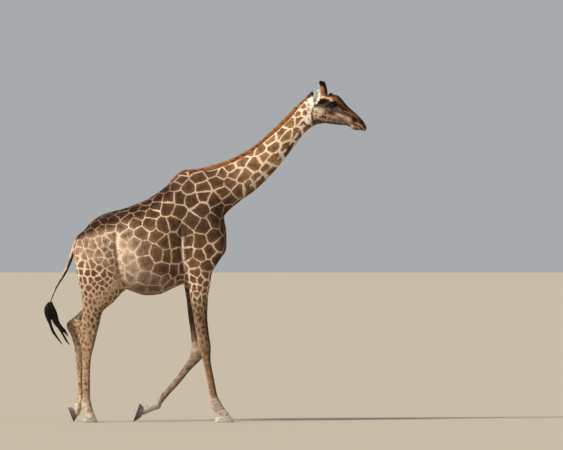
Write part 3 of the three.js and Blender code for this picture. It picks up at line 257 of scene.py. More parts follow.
class Fold:
    """A soft groove that runs along a line drawn on the side view, on one side of the body."""

    def __init__(self, depth, width, side, line, fade=0.18, wide=None):
        self.depth, self.width, self.side, self.fade = depth, width, side, fade
        self.line = np.array(line, float)
        self.skew = wide if wide else width
        r = 2.6 * max(width, self.skew)
        y = sorted([side * 20, side * 420])
        self.box = (self.line[:, 0].min() - r, self.line[:, 0].max() + r, y[0], y[1], self.line[:, 1].min() - r, self.line[:, 1].max() + r)

    def push(self, p):
        t, along, right = polyline_distance(p[:, 0], p[:, 2], self.line)
        w = np.where(right, self.skew, self.width)
        ends = step(0, self.fade, along) * step(0, self.fade, 1 - along)
        return self.depth * np.exp(-(t / w) ** 2) * ends


def polyline_distance(px, pz, line):
    """Distance from a line in the side view, the share of the way along it, and the side."""
    best = np.full(len(px), 1e9)
    along = np.zeros(len(px))
    right = np.zeros(len(px), bool)
    total = np.concatenate([[0], np.cumsum(np.linalg.norm(np.diff(line, axis=0), axis=1))])
    for i in range(len(line) - 1):
        a, v = line[i], line[i + 1] - line[i]
        t = np.clip(((px - a[0]) * v[0] + (pz - a[1]) * v[1]) / (v @ v), 0, 1)
        dx, dz = px - a[0] - t * v[0], pz - a[1] - t * v[1]
        d = np.hypot(dx, dz)
        near = d < best
        best = np.where(near, d, best)
        right = np.where(near, v[0] * dz - v[1] * dx < 0, right)
        along = np.where(near, (total[i] + t * (total[i + 1] - total[i])) / total[-1], along)
    return best, along, right


def blend(a, b, k):
    h = np.maximum(k - np.abs(a - b), 0) / k
    return np.minimum(a, b) - h * h * k * 0.25


def carve(a, b, k):
    """Takes b away from a."""
    return -blend(-a, b, k)


def step(a, b, x):
    t = np.clip((x - a) / (b - a), 0, 1)
    return t * t * (3 - 2 * t)


def both(kind, *lead):
    """The same form on the right and the left; its fourth number is y."""
    def make(x, y, z, *rest, **kw):
        left = kind(*lead, x, y, z, *rest, **kw)
        right = kind(*lead, x, -y, z, *rest, **{**kw, "yaw": -kw.get("yaw", 0.0)})
        return [left, right]
    return make


def near_box(p, b, r):
    return ((p[:, 0] > b[0] - r) & (p[:, 0] < b[1] + r) & (p[:, 1] > b[2] - r) & (p[:, 1] < b[3] + r)
            & (p[:, 2] > b[4] - r) & (p[:, 2] < b[5] + r))


MOUTH = np.array([(1603, 3283), (1636, 3276), (1676, 3262), (1706, 3244), (1722, 3228), (1732, 3212), (1740, 3190)], float)


HORN = (1318.0, 3560.0, 93.0, 28.0, 184.0)


def on_horn(p):
    """Along the horn from 0 to 1, and across it in the side view, backwards."""
    c, s = math.cos(math.radians(HORN[2])), math.sin(math.radians(HORN[2]))
    dx, dz = p[:, 0] - HORN[0], p[:, 2] - HORN[1]
    u = (dx * c + dz * s) / HORN[4]
    return u, -dx * s + dz * c - HORN[3] * np.clip(u, 0, 1.3) ** 4


class Ossicone:
    """A short horn under fur: a bent cone with a rounded end."""

    def __init__(self, side):
        self.side = side
        self.box = (1210, 1380, min(0, side * 110), max(0, side * 110), 3500, 3780)

    def distance(self, p):
        u, h = on_horn(p)
        y = (p[:, 1] - self.side * (53 + 15 * u)) / 0.84
        w = np.interp(u, [-0.2, 0.1, 0.5, 0.86, 1.0, 1.08], [47, 37, 33.5, 32, 30, 27])
        over = np.maximum(u - 0.90, 0) * HORN[4]
        r = np.sqrt(h * h + y * y + (over * 1.02) ** 2)
        return (r - w) * 0.95


class Ear:
    """A cupped leaf that grows from a short stalk."""

    def __init__(self, side):
        self.side = side
        self.base = np.array([1205.0, side * 84, 3494.0])
        tip = np.array([1254.0, side * 181, 3650.0])
        v = tip - self.base
        self.long = np.linalg.norm(v)
        self.along = v / self.long
        a = np.array([0.9, side * 0.28, -0.1])
        a -= self.along * (a @ self.along)
        self.across = a / np.linalg.norm(a)
        n = np.cross(self.across, self.along)
        self.hollow = n if n[1] * side > 0 else -n
        y = sorted([side * 60, side * 200])
        self.box = (1130, 1310, y[0], y[1], 3465, 3690)

    def uvw(self, p):
        q = p - self.base
        return q @ self.along / self.long, q @ self.across, q @ self.hollow

    def distance(self, p):
        u, v, w = self.uvw(p)
        uc = np.clip(u, 0, 1)
        shape = np.interp(uc, [0, 0.12, 0.25, 0.4, 0.55, 0.7, 0.82, 0.9, 0.96, 1.0],
                          [0.44, 0.60, 0.83, 0.98, 0.97, 0.85, 0.64, 0.44, 0.26, 0.12])
        wide = 41.0 * shape
        t = np.clip(v / np.maximum(wide, 1), -1.15, 1.15)
        cup = -21 * shape * (1 - t * t) * (1 - 0.25 * uc)
        thick = 4.8 - 1.2 * uc
        slope = np.sqrt(1 + (42 * shape * t * (1 - 0.25 * uc) / np.maximum(wide, 1)) ** 2)
        d = np.abs(w - cup) / slope - thick * np.sqrt(np.clip(1.05 - t * t * 0.45, 0.15, 1))
        e = np.abs(v) - wide
        f = (np.abs(u - 0.5) - 0.5) * self.long
        return -blend(-d, -np.maximum(e, f), 3.0)


def almond(p, side):
    """How far a point is outside the almond of the open eye, as seen from the eyeball's middle."""
    q = p - np.array([EYE[0], side * EYE[1], EYE[2]])
    r = np.linalg.norm(q, axis=1) + 1e-6
    out = q[:, 1] * side / r
    tilt = math.radians(-5)
    a = (q[:, 0] * math.cos(tilt) + q[:, 2] * math.sin(tilt)) / r
    b = (-q[:, 0] * math.sin(tilt) + q[:, 2] * math.cos(tilt)) / r
    ah = np.arctan2(a, np.maximum(out, 0.05))
    av = np.arctan2(b, np.maximum(out, 0.05))
    wide = math.radians(60)
    high = np.where(av > 0, math.radians(29), math.radians(25))
    arch = np.clip(1 - (ah / wide) ** 2, 0, 1) ** 0.8
    d = np.abs(av) - high * arch
    d = np.where(np.abs(ah) > wide, np.hypot(np.maximum(np.abs(ah) - wide, 0), np.abs(av)), d)
    return np.where(out > 0.05, d * r, 60.0), r


def body_folds():
    """Where muscles meet on the trunk, neck and legs, on both sides."""
    out = []
    for s in (-1, 1):
        back = 0 if s < 0 else 14
        out += [
            # behind the shoulder and the upper arm
            Fold(15, 46, s, [(-262 - back, 2290), (-268 - back, 2120), (-262 - back, 1960), (-258 - back, 1800), (-246 - back, 1660), (-222 - back, 1560)], wide=12),
            Fold(-7, 24, s, [(-225 - back, 2160), (-228 - back, 1980), (-222 - back, 1800), (-205 - back, 1660)]),
            # the blade's front edge and the hollow above the point of the shoulder
            Fold(8, 34, s, [(20, 2860), (95, 2640), (170, 2460), (262, 2300), (330, 2200)]),
            Fold(-6, 40, s, [(-110, 2760), (-40, 2560), (40, 2360), (120, 2170)]),
            # between belly and thigh
            Fold(20, 24, s, [(-975, 2150), (-968, 2040), (-962, 1930), (-950, 1790), (-930, 1660), (-900, 1560), (-850, 1490)], wide=60),
            Fold(-9, 34, s, [(-905, 2120), (-890, 1960), (-872, 1800), (-850, 1660)]),
            # between the thigh's two muscles behind
            Fold(7, 26, s, [(-1430, 1760), (-1400, 1560), (-1360, 1380), (-1340, 1240)]),
            # along the throat's side
            Fold(8, 26, s, [(330, 2330), (560, 2500), (790, 2720), (960, 2930), (1080, 3110), (1150, 3210)]),
            # the row under the nape
            Fold(5, 30, s, [(360, 2800), (620, 2980), (850, 3170), (1000, 3310)]),
        ]
        out += [
            Dent(16, -330, s * 330, 2030, 130, 110, 190),
            Dent(11, -300, s * 200, 2560, 120, 90, 110, pitch=50),
            Dent(-6, 120, s * 190, 2090, 110, 90, 110),
            Dent(11, 210, s * 170, 2330, 90, 90, 70, pitch=-50),
            Dent(12, -1010, s * 240, 2140, 120, 110, 60, pitch=30),
            Dent(8, -1180, s * 250, 1870, 80, 90, 190),
        ]
    return out


def leg_forms():
    """The forelegs' names, each with its side."""
    out = []
    for name, s in (("fore_right", -1), ("fore_left", 1)):
        out.append((name, s))
    return out


FAR = 900.0


class Flesh:
    """The whole body as one distance."""

    def __init__(self):
        soft = {"trunk": 34, "neck": 40, "head": 16, "tail": 20}
        self.length = {n: Length(n, soft.get(n, 16)) for n in LENGTHS}
        order = [("trunk", 1), ("neck", 90), ("fore_right", 100), ("fore_left", 100), ("hind_right", 110), ("hind_left", 110),
                 ("fore_left_cannon", 44), ("hind_left_gaskin", 60), ("hind_left_cannon", 56), ("fore_right_pastern", 40),
                 ("hind_right_pastern", 40), ("fore_left_pastern", 38), ("hind_left_pastern", 38), ("tail", 26), ("head", 60)]
        self.parts = [(self.length[n], k) for n, k in order]
        self.parts.append((Ball(160, 0, 1975, 60, 120, 140, 12), 60))
        self.folds = body_folds()

    def distance(self, p):
        d = np.full(len(p), FAR)
        for part, k in self.parts:
            near = near_box(p, part.box, 150)
            if near.any():
                d[near] = blend(d[near], part.distance(p[near]), k)
        for f in self.folds:
            near = near_box(p, f.box, 0 if isinstance(f, Fold) else f.half.max() * 1.5)
            if near.any():
                d[near] += f.push(p[near])
        return d


class Head(Flesh):
    """The flesh with the features of the face, sunk by the coat's depth."""

    def __init__(self):
        super().__init__()
        ball, swell = both(Ball), lambda depth: both(Dent, depth)
        add = [(b, 22) for b in ball(1394, 82, 3512, 56, 27, 30, pitch=-24)]       # brow
        add += [(b, 20) for b in ball(1404, 84, 3484, 40, 34, 34, pitch=-14)]     # around the eyeball
        add += [(Ball(1428, 0, 3552, 74, 46, 36, -30), 40)]                        # the bump between the eyes
        add += [(b, 14) for b in ball(1708, 30, 3300, 38, 19, 24, pitch=-42)]     # wings of the nostrils
        add += [(Ball(1734, 0, 3247, 30, 40, 44, 20), 18)]                         # upper lip
        add += [(Ball(1668, 0, 3243, 66, 35, 31, -6), 16)]                         # chin
        for side in (1, -1):
            add.append((Ball(1204, side * 78, 3486, 26, 28, 32), 26))
            add.append((Ossicone(side), 20))
            add.append((Ear(side), 9))
        self.add = add
        dent = []
        dent += swell(-5)(1312, 104, 3392, 78, 50, 62, pitch=-20)     # the big chewing muscle
        dent += swell(9)(1304, 122, 3492, 40, 40, 22, pitch=-14)      # hollow behind the eye
        dent += swell(8)(1470, 92, 3452, 46, 34, 20, pitch=-30)       # hollow before the eye
        dent += swell(-5)(1470, 84, 3404, 84, 30, 13, pitch=-24)      # the cheek bone's edge
        dent += swell(7)(1540, 74, 3328, 74, 34, 22, pitch=-14)       # the cheek between bone and jaw
        dent += swell(5)(1570, 64, 3402, 70, 26, 22, pitch=-38)       # the side of the nose
        dent += swell(-4)(1620, 52, 3330, 46, 24, 18, pitch=-30)      # the lip's pad
        dent += swell(10)(1196, 96, 3368, 26, 60, 76, pitch=14)       # behind the jaw
        dent += swell(4)(1392, 40, 3600, 40, 24, 24)
        dent += [Dent(13, 1165, 0, 3585, 55, 60, 44)]                  # the poll, under the mane
        self.dent = dent
        self.edge_of_jaw = [Fold(-3.5, 11, s, [(1290, 3306), (1400, 3300), (1500, 3290), (1590, 3276)]) for s in (1, -1)]
        self.tear = [Fold(3.2, 6.5, s, [(1432, 3476), (1450, 3458), (1474, 3440), (1500, 3418)], fade=0.3) for s in (1, -1)]

    def distance(self, p):
        x, z = p[:, 0], p[:, 2]
        d = super().distance(p) + 5.0 - 2.2 * step(1080, 1240, x) * step(3120, 3240, z) - 3.2 * step(-1425, -1455, x) * step(1290, 1330, z)
        m = (p[:, 0] > 1120) & (p[:, 2] > 3130)
        if m.any():
            d[m] = self.face(p[m], d[m])
        return d

    def face(self, p, d):
        for part, k in self.add:
            near = near_box(p, part.box, 60)
            if near.any():
                d[near] = blend(d[near], part.distance(p[near]), k)
        for f in self.dent + self.edge_of_jaw + self.tear:
            near = near_box(p, f.box, 0 if isinstance(f, Fold) else f.half.max() * 1.5)
            if near.any():
                d[near] += f.push(p[near])
        for side in (1, -1):
            q = np.linalg.norm(p - np.array([EYE[0], side * EYE[1], EYE[2]]), axis=1)
            near = q < 62
            if near.any():
                a, r = almond(p[near], side)
                e = d[near]
                # the lids swell over the ball, a fold runs above them, and the almond is cut through
                e = blend(e, np.maximum(r - EYE[3] - 5.4, -(a + 2.0)), 9)
                fold = np.exp(-((a - 13.5) / 3.2) ** 2) * step(0, 14, (p[near][:, 2] - EYE[2]))
                e += 2.6 * fold * np.exp(-((r - EYE[3] - 5) / 14) ** 2)
                e = carve(e, r - EYE[3] - 0.8, 2.0)
                e = carve(e, np.maximum(a, 4 - r), 3.2)
                d[near] = e
        m = (p[:, 0] > 1570) & (p[:, 2] < 3330)
        if m.any():
            q, e = p[m], d[m]
            t, along, under = polyline_distance(q[:, 0], q[:, 2], MOUTH)
            ends = step(0.0, 0.16, along)
            e = e + (7.0 * np.exp(-(t / 4.2) ** 2) - 1.2 * np.exp(-((t - 11) / 6.0) ** 2)) * ends
            d[m] = e
        for side in (1, -1):
            near = near_box(p, (1690, 1770, min(side * 10, side * 80), max(side * 10, side * 80), 3260, 3345), 0)
            if near.any():
                e = d[near]
                e = carve(e, Ball(1733, side * 44, 3301, 21, 20, 7.0, pitch=-52, yaw=side * 18).distance(p[near]), 5)
                e = carve(e, Ball(1718, side * 49, 3313, 13, 15, 5.5, pitch=-14, yaw=side * 10).distance(p[near]), 5)
                d[near] = e
        return d


# ---- From a distance to a mesh ---------------------------------------------------------------
def ruler(start, end, knots):
    """Grid lines whose spacing follows the knots (place, spacing)."""
    k = np.array(knots, float)
    out = [start]
    while out[-1] < end:
        out.append(out[-1] + float(np.interp(out[-1], k[:, 0], k[:, 1])))
    return np.array(out)


class Grid:
    """Lines that crowd together where the form is fine, and towards the head also from side to side."""

    def __init__(self):
        self.x = ruler(-1800, 1800, GRID_X)
        self.z = ruler(-24, 3790, GRID_Z)
        half = ruler(GRID_Y[0][0], 204, GRID_Y)
        self.y = np.concatenate([-half[:0:-1], half])

    def widen(self, x):
        return 1.0 + 0.94 * (1 - step(760, 1130, x))

    def place(self, i, j, k):
        x = np.interp(i, np.arange(len(self.x)), self.x)
        y = np.interp(j, np.arange(len(self.y)), self.y) * self.widen(x)
        z = np.interp(k, np.arange(len(self.z)), self.z)
        return np.stack([x, y, z], -1)


def sample(field, grid, block=8):
    """The field on the grid, worked out only in the blocks its surface passes through."""
    shape = (len(grid.x), len(grid.y), len(grid.z))
    blocks = [int(math.ceil((n - 1) / block)) for n in shape]
    mids = np.stack(np.meshgrid(*[(np.arange(b) + 0.5) * block for b in blocks], indexing="ij"), -1).reshape(-1, 3)
    low = grid.place(*(mids - block / 2).T)
    high = grid.place(*(mids + block / 2).T)
    d = field(grid.place(*mids.T))
    reach = np.linalg.norm(high - low, axis=1) * 0.5 * 1.3 + 14
    out = np.repeat(np.repeat(np.repeat(d.reshape(blocks), block, 0), block, 1), block, 2)
    out = np.pad(out, ((0, 1), (0, 1), (0, 1)), mode="edge").astype(np.float32)
    hit = np.argwhere((np.abs(d) < reach).reshape(blocks))
    o = np.arange(block + 1)
    off = np.stack(np.meshgrid(o, o, o, indexing="ij"), -1).reshape(-1, 3)
    for a in range(0, len(hit), 260):
        idx = (hit[a:a + 260, None, :] * block + off[None]).reshape(-1, 3)
        out[idx[:, 0], idx[:, 1], idx[:, 2]] = field(grid.place(*idx.T.astype(float)))
    return out


def net(d, grid):
    """Quads round the zero of a grid, one point in each cell that it crosses."""
    inside = d < 0
    nx, ny, nz = d.shape
    cells = np.array([(ny - 1) * (nz - 1), nz - 1, 1])
    ids, pts, quads = [], [], []
    for axis in range(3):
        a, b = [slice(None)] * 3, [slice(None)] * 3
        a[axis], b[axis] = slice(0, -1), slice(1, None)
        e = np.argwhere(inside[tuple(a)] != inside[tuple(b)])
        u, v = [(1, 2), (2, 0), (0, 1)][axis]
        e = e[(e[:, u] > 0) & (e[:, v] > 0) & (e[:, u] < d.shape[u] - 1) & (e[:, v] < d.shape[v] - 1)]
        f = e.copy()
        f[:, axis] += 1
        da = d[e[:, 0], e[:, 1], e[:, 2]]
        db = d[f[:, 0], f[:, 1], f[:, 2]]
        p = e.astype(float)
        p[:, axis] += da / (da - db)
        p = grid.place(*p.T)
        q = []
        for du, dv in ((-1, -1), (0, -1), (0, 0), (-1, 0)):
            c = e.copy()
            c[:, u] += du
            c[:, v] += dv
            q.append(c @ cells)
        q = np.stack(q, 1)
        for k in range(4):
            ids.append(q[:, k])
            pts.append(p)
        flip = da > 0
        q[flip] = q[flip][:, ::-1]
        quads.append(q)
    ids, pts, quads = np.concatenate(ids), np.concatenate(pts), np.concatenate(quads)
    uniq, inv = np.unique(ids, return_inverse=True)
    n = np.bincount(inv)
    co = np.stack([np.bincount(inv, pts[:, k]) / n for k in range(3)], 1)
    return co, np.searchsorted(uniq, quads)


def gradient(field, p, e=0.8):
    g = np.empty_like(p)
    for k in range(3):
        o = np.zeros(3)
        o[k] = e
        g[:, k] = (field(p + o) - field(p - o)) / (2 * e)
    return g


def settle(field, p, faces, rounds=3, relax=0.5, limit=6.0):
    """Evens out the points along the surface and puts them back on it."""
    n = len(p)
    a = faces.ravel()
    b = np.roll(faces, -1, 1).ravel()
    count = np.maximum(np.bincount(a, minlength=n) + np.bincount(b, minlength=n), 1)
    g = None
    for _ in range(rounds):
        avg = np.stack([(np.bincount(a, p[b, k], n) + np.bincount(b, p[a, k], n)) / count for k in range(3)], 1)
        g = gradient(field, p)
        len2 = np.maximum((g * g).sum(1), 0.04)
        unit = g / np.sqrt(len2)[:, None]
        move = (avg - p) * relax
        move -= unit * (move * unit).sum(1)[:, None]
        p = p + move
        off = -(field(p) / len2)[:, None] * g
        size = np.linalg.norm(off, axis=1)
        p = p + off * np.minimum(1, limit / np.maximum(size, 1e-9))[:, None]
    return p


GRID_X = [(-1800, 6.5), (-1440, 6.5), (-1390, 13.5), (1000, 13.5), (1130, 4.3), (1352, 4.3), (1364, 2.3), (1444, 2.3),
          (1458, 4.2), (1580, 4.2), (1600, 3.1), (1790, 3.1)]
GRID_Y = [(0, 4.2), (76, 4.2), (84, 2.8), (124, 2.8), (132, 4.6), (210, 4.6)]
GRID_Z = [(-24, 9.5), (280, 9.5), (330, 13.5), (2980, 13.5), (3130, 4.3), (3190, 3.1), (3320, 3.1), (3330, 4.3), (3440, 4.3),
          (3452, 2.3), (3518, 2.3), (3532, 4.3), (3800, 4.3)]


# ---- Markings ----------------------------------------------------------------------------------
# Middles of the patches on the right side, region by region, as (x, z).
PATCHES = {
    "back": [
        (-1200, 2220), (-1065, 2265), (-980, 2315), (-885, 2335), (-770, 2350), (-640, 2410), (-580, 2475),
        (-1120, 2210), (-1010, 2210), (-895, 2280), (-665, 2350), (-540, 2375), (-510, 2460), (-1180, 2165),
        (-1240, 2080), (-1140, 2120), (-840, 2235), (-700, 2275), (-585, 2295)],
    "flank": [
        (-1025, 2130), (-760, 2185), (-610, 2175), (-995, 2040), (-860, 2045), (-690, 2070), (-515, 2050),
        (-325, 1990), (-335, 2180), (-760, 1965), (-675, 1905), (-850, 1795), (-505, 1860), (-410, 1830),
        (-300, 1830), (-655, 1740), (-465, 1675), (-330, 1655), (-830, 1595), (-660, 1585), (-530, 1555),
        (-435, 1560), (-550, 1465), (-715, 1475)],
    "shoulder": [
        (-280, 2465), (-290, 2310), (-385, 2470), (-400, 2350), (-140, 2210), (-125, 2440), (-40, 2335),
        (-5, 2145), (100, 2200), (105, 2045), (-65, 1985), (-185, 1990), (175, 1950), (50, 1860), (-185, 1855),
        (-115, 1750), (-55, 1825), (135, 1785), (30, 1700), (-330, 2605), (-185, 2585), (-15, 2485),
        (-25, 2580), (110, 2445), (-60, 2690), (80, 2745), (140, 2630), (-425, 2570)],
    "neck": [
        (280, 2795), (320, 2730), (285, 2625), (395, 2855), (560, 2840), (375, 2545), (585, 2670), (615, 3010),
        (520, 2975), (655, 2910), (720, 3105), (750, 3015), (750, 2885), (845, 3170), (895, 3145), (900, 3015),
        (945, 3295), (1035, 3390), (1090, 3465), (1045, 3330), (1105, 3400), (1005, 3175), (1160, 3485),
        (1165, 3375), (1095, 3290), (1140, 3245)],
    "haunch": [
        (-1300, 1965), (-1225, 1945), (-1155, 1970), (-1085, 1970), (-1005, 1920), (-1320, 1825), (-1255, 1860),
        (-1155, 1840), (-1040, 1840), (-1345, 1730), (-1285, 1715), (-1230, 1730), (-1155, 1775), (-1080, 1745),
        (-1015, 1770), (-1385, 1795), (-1155, 1690), (-1095, 1620), (-1025, 1620), (-1205, 1630), (-1280, 1640),
        (-1355, 1650)],
}


def wobble(p, size, seed):
    """A smooth random vector for each point, about one unit long, that turns over in `size` mm."""
    r = np.random.default_rng(seed)
    out = np.zeros_like(p)
    for _ in range(7):
        k = r.normal(size=(3, 3)) * (2 * math.pi / size) * 0.42
        out += np.sin(p @ k.T + r.uniform(0, 6.28, 3))
    return out / 2.6


def grain(p, size, seed):
    return wobble(p, size, seed)[:, 0]


def on_side(field, x, z, side):
    """The skin's point that lies at (x, z) in the side view."""
    y = np.arange(430.0, 0.0, -6.0)
    q = np.stack([np.repeat(x, len(y)), np.tile(side * y, len(x)), np.repeat(z, len(y))], 1)
    d = field(q).reshape(len(x), len(y))
    hit = (d < 0).argmax(1)
    ok = (d < 0).any(1)
    return np.stack([x, side * y[hit], z], 1)[ok]


def cell_size(p):
    """About how far apart the patches' middles lie at each point."""
    x, y, z = p.T
    up = step(1150, 2250, z)
    size = 44 + 84 * up
    trunk = step(1380, 1450, z) * (x < -290) + step(1560, 1760, z) * (x >= -290)
    size = size + (124 - size) * trunk * (x < 330)
    size = np.where(x < -900, 44 + 34 * step(1350, 1850, z) + 22 * step(1850, 2150, z), size)
    size -= 46 * step(2, 4, (x < -100) * (z - (2120 + (x + 1200) * 0.42)) / 40.0) * (x < -250) * (x > -1300)
    size = np.where((x > 150) & (z > 2400), 122 - 40 * step(700, 1150, x), size)
    size = np.where((x > 1140) & (z > 3150), np.where(z < 3330, 60, 44), size)
    size = np.where(z < 1250, 46 - 12 * (1 - step(500, 1250, z)), size)
    return size


def place_seeds(field, points, outward):
    """The measured middles on the right, their like on the left, and random ones wherever room is left."""
    rng = np.random.default_rng(11)
    side = [np.array(v, float) for v in PATCHES.values()]
    right = np.concatenate(side)
    seeds = [on_side(field, right[:, 0], right[:, 1], -1)]
    left = np.concatenate(side[:4]) + rng.normal(0, 17, (sum(len(s) for s in side[:4]), 2))
    seeds.append(on_side(field, left[:, 0] * 0.995 - 14, left[:, 1] + 12, 1))
    kept = np.concatenate(seeds)
    order = rng.permutation(len(points))
    cand = points[order]
    size = cell_size(cand)
    throat = (outward[order] @ np.array([0.643, 0, -0.766]) > 0.6) & (cand[:, 0] > 330) & (cand[:, 0] < 1150) & (cand[:, 2] > 2300)
    size = np.where(throat, size * 1.9, size)
    near = np.full(len(cand), 1e9)
    for a in range(0, len(kept), 64):
        d = ((cand[:, None, :] - kept[None, a:a + 64]) ** 2).sum(2).min(1)
        near = np.minimum(near, d)
    taken = [kept]
    scale = 1.0
    free = near > (size * 0.90) ** 2
    while free.any():
        i = int(free.argmax())
        q = cand[i]
        taken.append(q[None])
        close = ((cand[i:] - q) ** 2).sum(1)
        near[i:] = np.minimum(near[i:], close)
        free[i:] &= close > (size[i:] * 0.90) ** 2
        free[i] = False
    return np.concatenate(taken)


def squeeze(p):
    """Shortens the neck and the lower legs, where the patches are longer than wide."""
    s = (p[:, 0] - 112) * 0.766 + (p[:, 2] - 2530) * 0.643
    s = np.where(p[:, 2] > 2300, s, 0)
    k = 0.30 * (np.clip(s, 300, 1320) - 300)
    out = p - np.stack([k * 0.766, k * 0, k * 0.643], 1)
    low = np.minimum(p[:, 2] - 1420, 0)
    out[:, 2] -= 0.36 * low
    return out


class Cells:
    """Patches as the nearest of the seeds, with the distance to the patch's border."""

    def __init__(self, seeds):
        seeds = squeeze(seeds)
        self.seeds = seeds.astype(np.float32)
        self.dist = np.sqrt(((seeds[:, None] - seeds[None]) ** 2).sum(2)).astype(np.float32) + 1e-3
        self.rand = np.random.default_rng(5).uniform(0, 1, (len(seeds), 3))

    def look(self, p):
        p = squeeze(p)
        s = self.seeds
        edge, who, far = np.empty(len(p)), np.empty(len(p), int), np.empty(len(p))
        sq = (s * s).sum(1)
        for a in range(0, len(p), 4096):
            q = p[a:a + 4096].astype(np.float32)
            d2 = (q * q).sum(1)[:, None] - 2 * q @ s.T + sq
            i = d2.argmin(1)
            base = d2[np.arange(len(q)), i]
            e = (d2 - base[:, None]) / (2 * self.dist[i])
            e[np.arange(len(q)), i] = 1e9
            edge[a:a + 4096], who[a:a + 4096], far[a:a + 4096] = e.min(1), i, np.sqrt(np.maximum(base, 0))
        return edge, who, far


CREAM = (0.72, 0.535, 0.375)
BROWN = (0.140, 0.070, 0.032)
# Washes of colour seen from the side: where, how wide and high, pitch, patch tone, line tone, strength.
WASHES = [
    # trunk: pale where the belly bulges before the thigh, partly a dusty coat and partly painted light on the bulge;
    # painted shade behind the shoulder and towards the elbow
    (-170, 2690, 260, 70, 10, (0.075, 0.040, 0.020), (0.50, 0.32, 0.19), 0.6),
    (-60, 2130, 250, 300, 0, (0.104, 0.051, 0.024), None, 0.9),
    # the next six rows: the pale belly bulge, partly a dusty coat and partly painted light
    (-850, 2060, 80, 110, 0, (0.42, 0.265, 0.165), (0.64, 0.47, 0.335), 0.72),
    (-838, 1815, 104, 200, 6, (0.56, 0.40, 0.275), (0.76, 0.61, 0.47), 0.90),
    (-790, 1590, 130, 110, 30, (0.44, 0.32, 0.23), (0.62, 0.49, 0.37), 0.85),
    (-650, 1690, 130, 110, 0, (0.23, 0.150, 0.095), (0.50, 0.37, 0.26), 0.60),
    (-640, 1545, 230, 90, 0, (0.255, 0.178, 0.120), (0.48, 0.36, 0.26), 0.75),
    (-688, 1840, 92, 170, 0, (0.27, 0.175, 0.108), (0.60, 0.45, 0.33), 0.62),
    (-520, 1880, 120, 120, 0, (0.150, 0.085, 0.044), None, 0.5),
    # painted shade in the hollow behind the shoulder
    (-318, 2000, 70, 170, 0, (0.070, 0.038, 0.022), (0.40, 0.28, 0.185), 0.65),
    # painted shade towards the elbow
    (-330, 1620, 120, 90, 0, (0.085, 0.048, 0.028), (0.30, 0.20, 0.13), 0.6),
]


def mix(a, b, t):
    t = np.asarray(t)[..., None]
    return a * (1 - t) + np.asarray(b, float) * t


def wash(p, tone, line, rows, power=2.0):
    x, z = p[:, 0], p[:, 2]
    for cx, cz, rx, rz, pitch, a, b, amount in rows:
        c, s = math.cos(math.radians(pitch)), math.sin(math.radians(pitch))
        u = ((x - cx) * c + (z - cz) * s) / rx
        v = (-(x - cx) * s + (z - cz) * c) / rz
        w = amount * np.exp(-(u * u + v * v) ** (power / 2))
        tone = mix(tone, a, w)
        if b is not None:
            line = mix(line, b, w)
    return tone, line


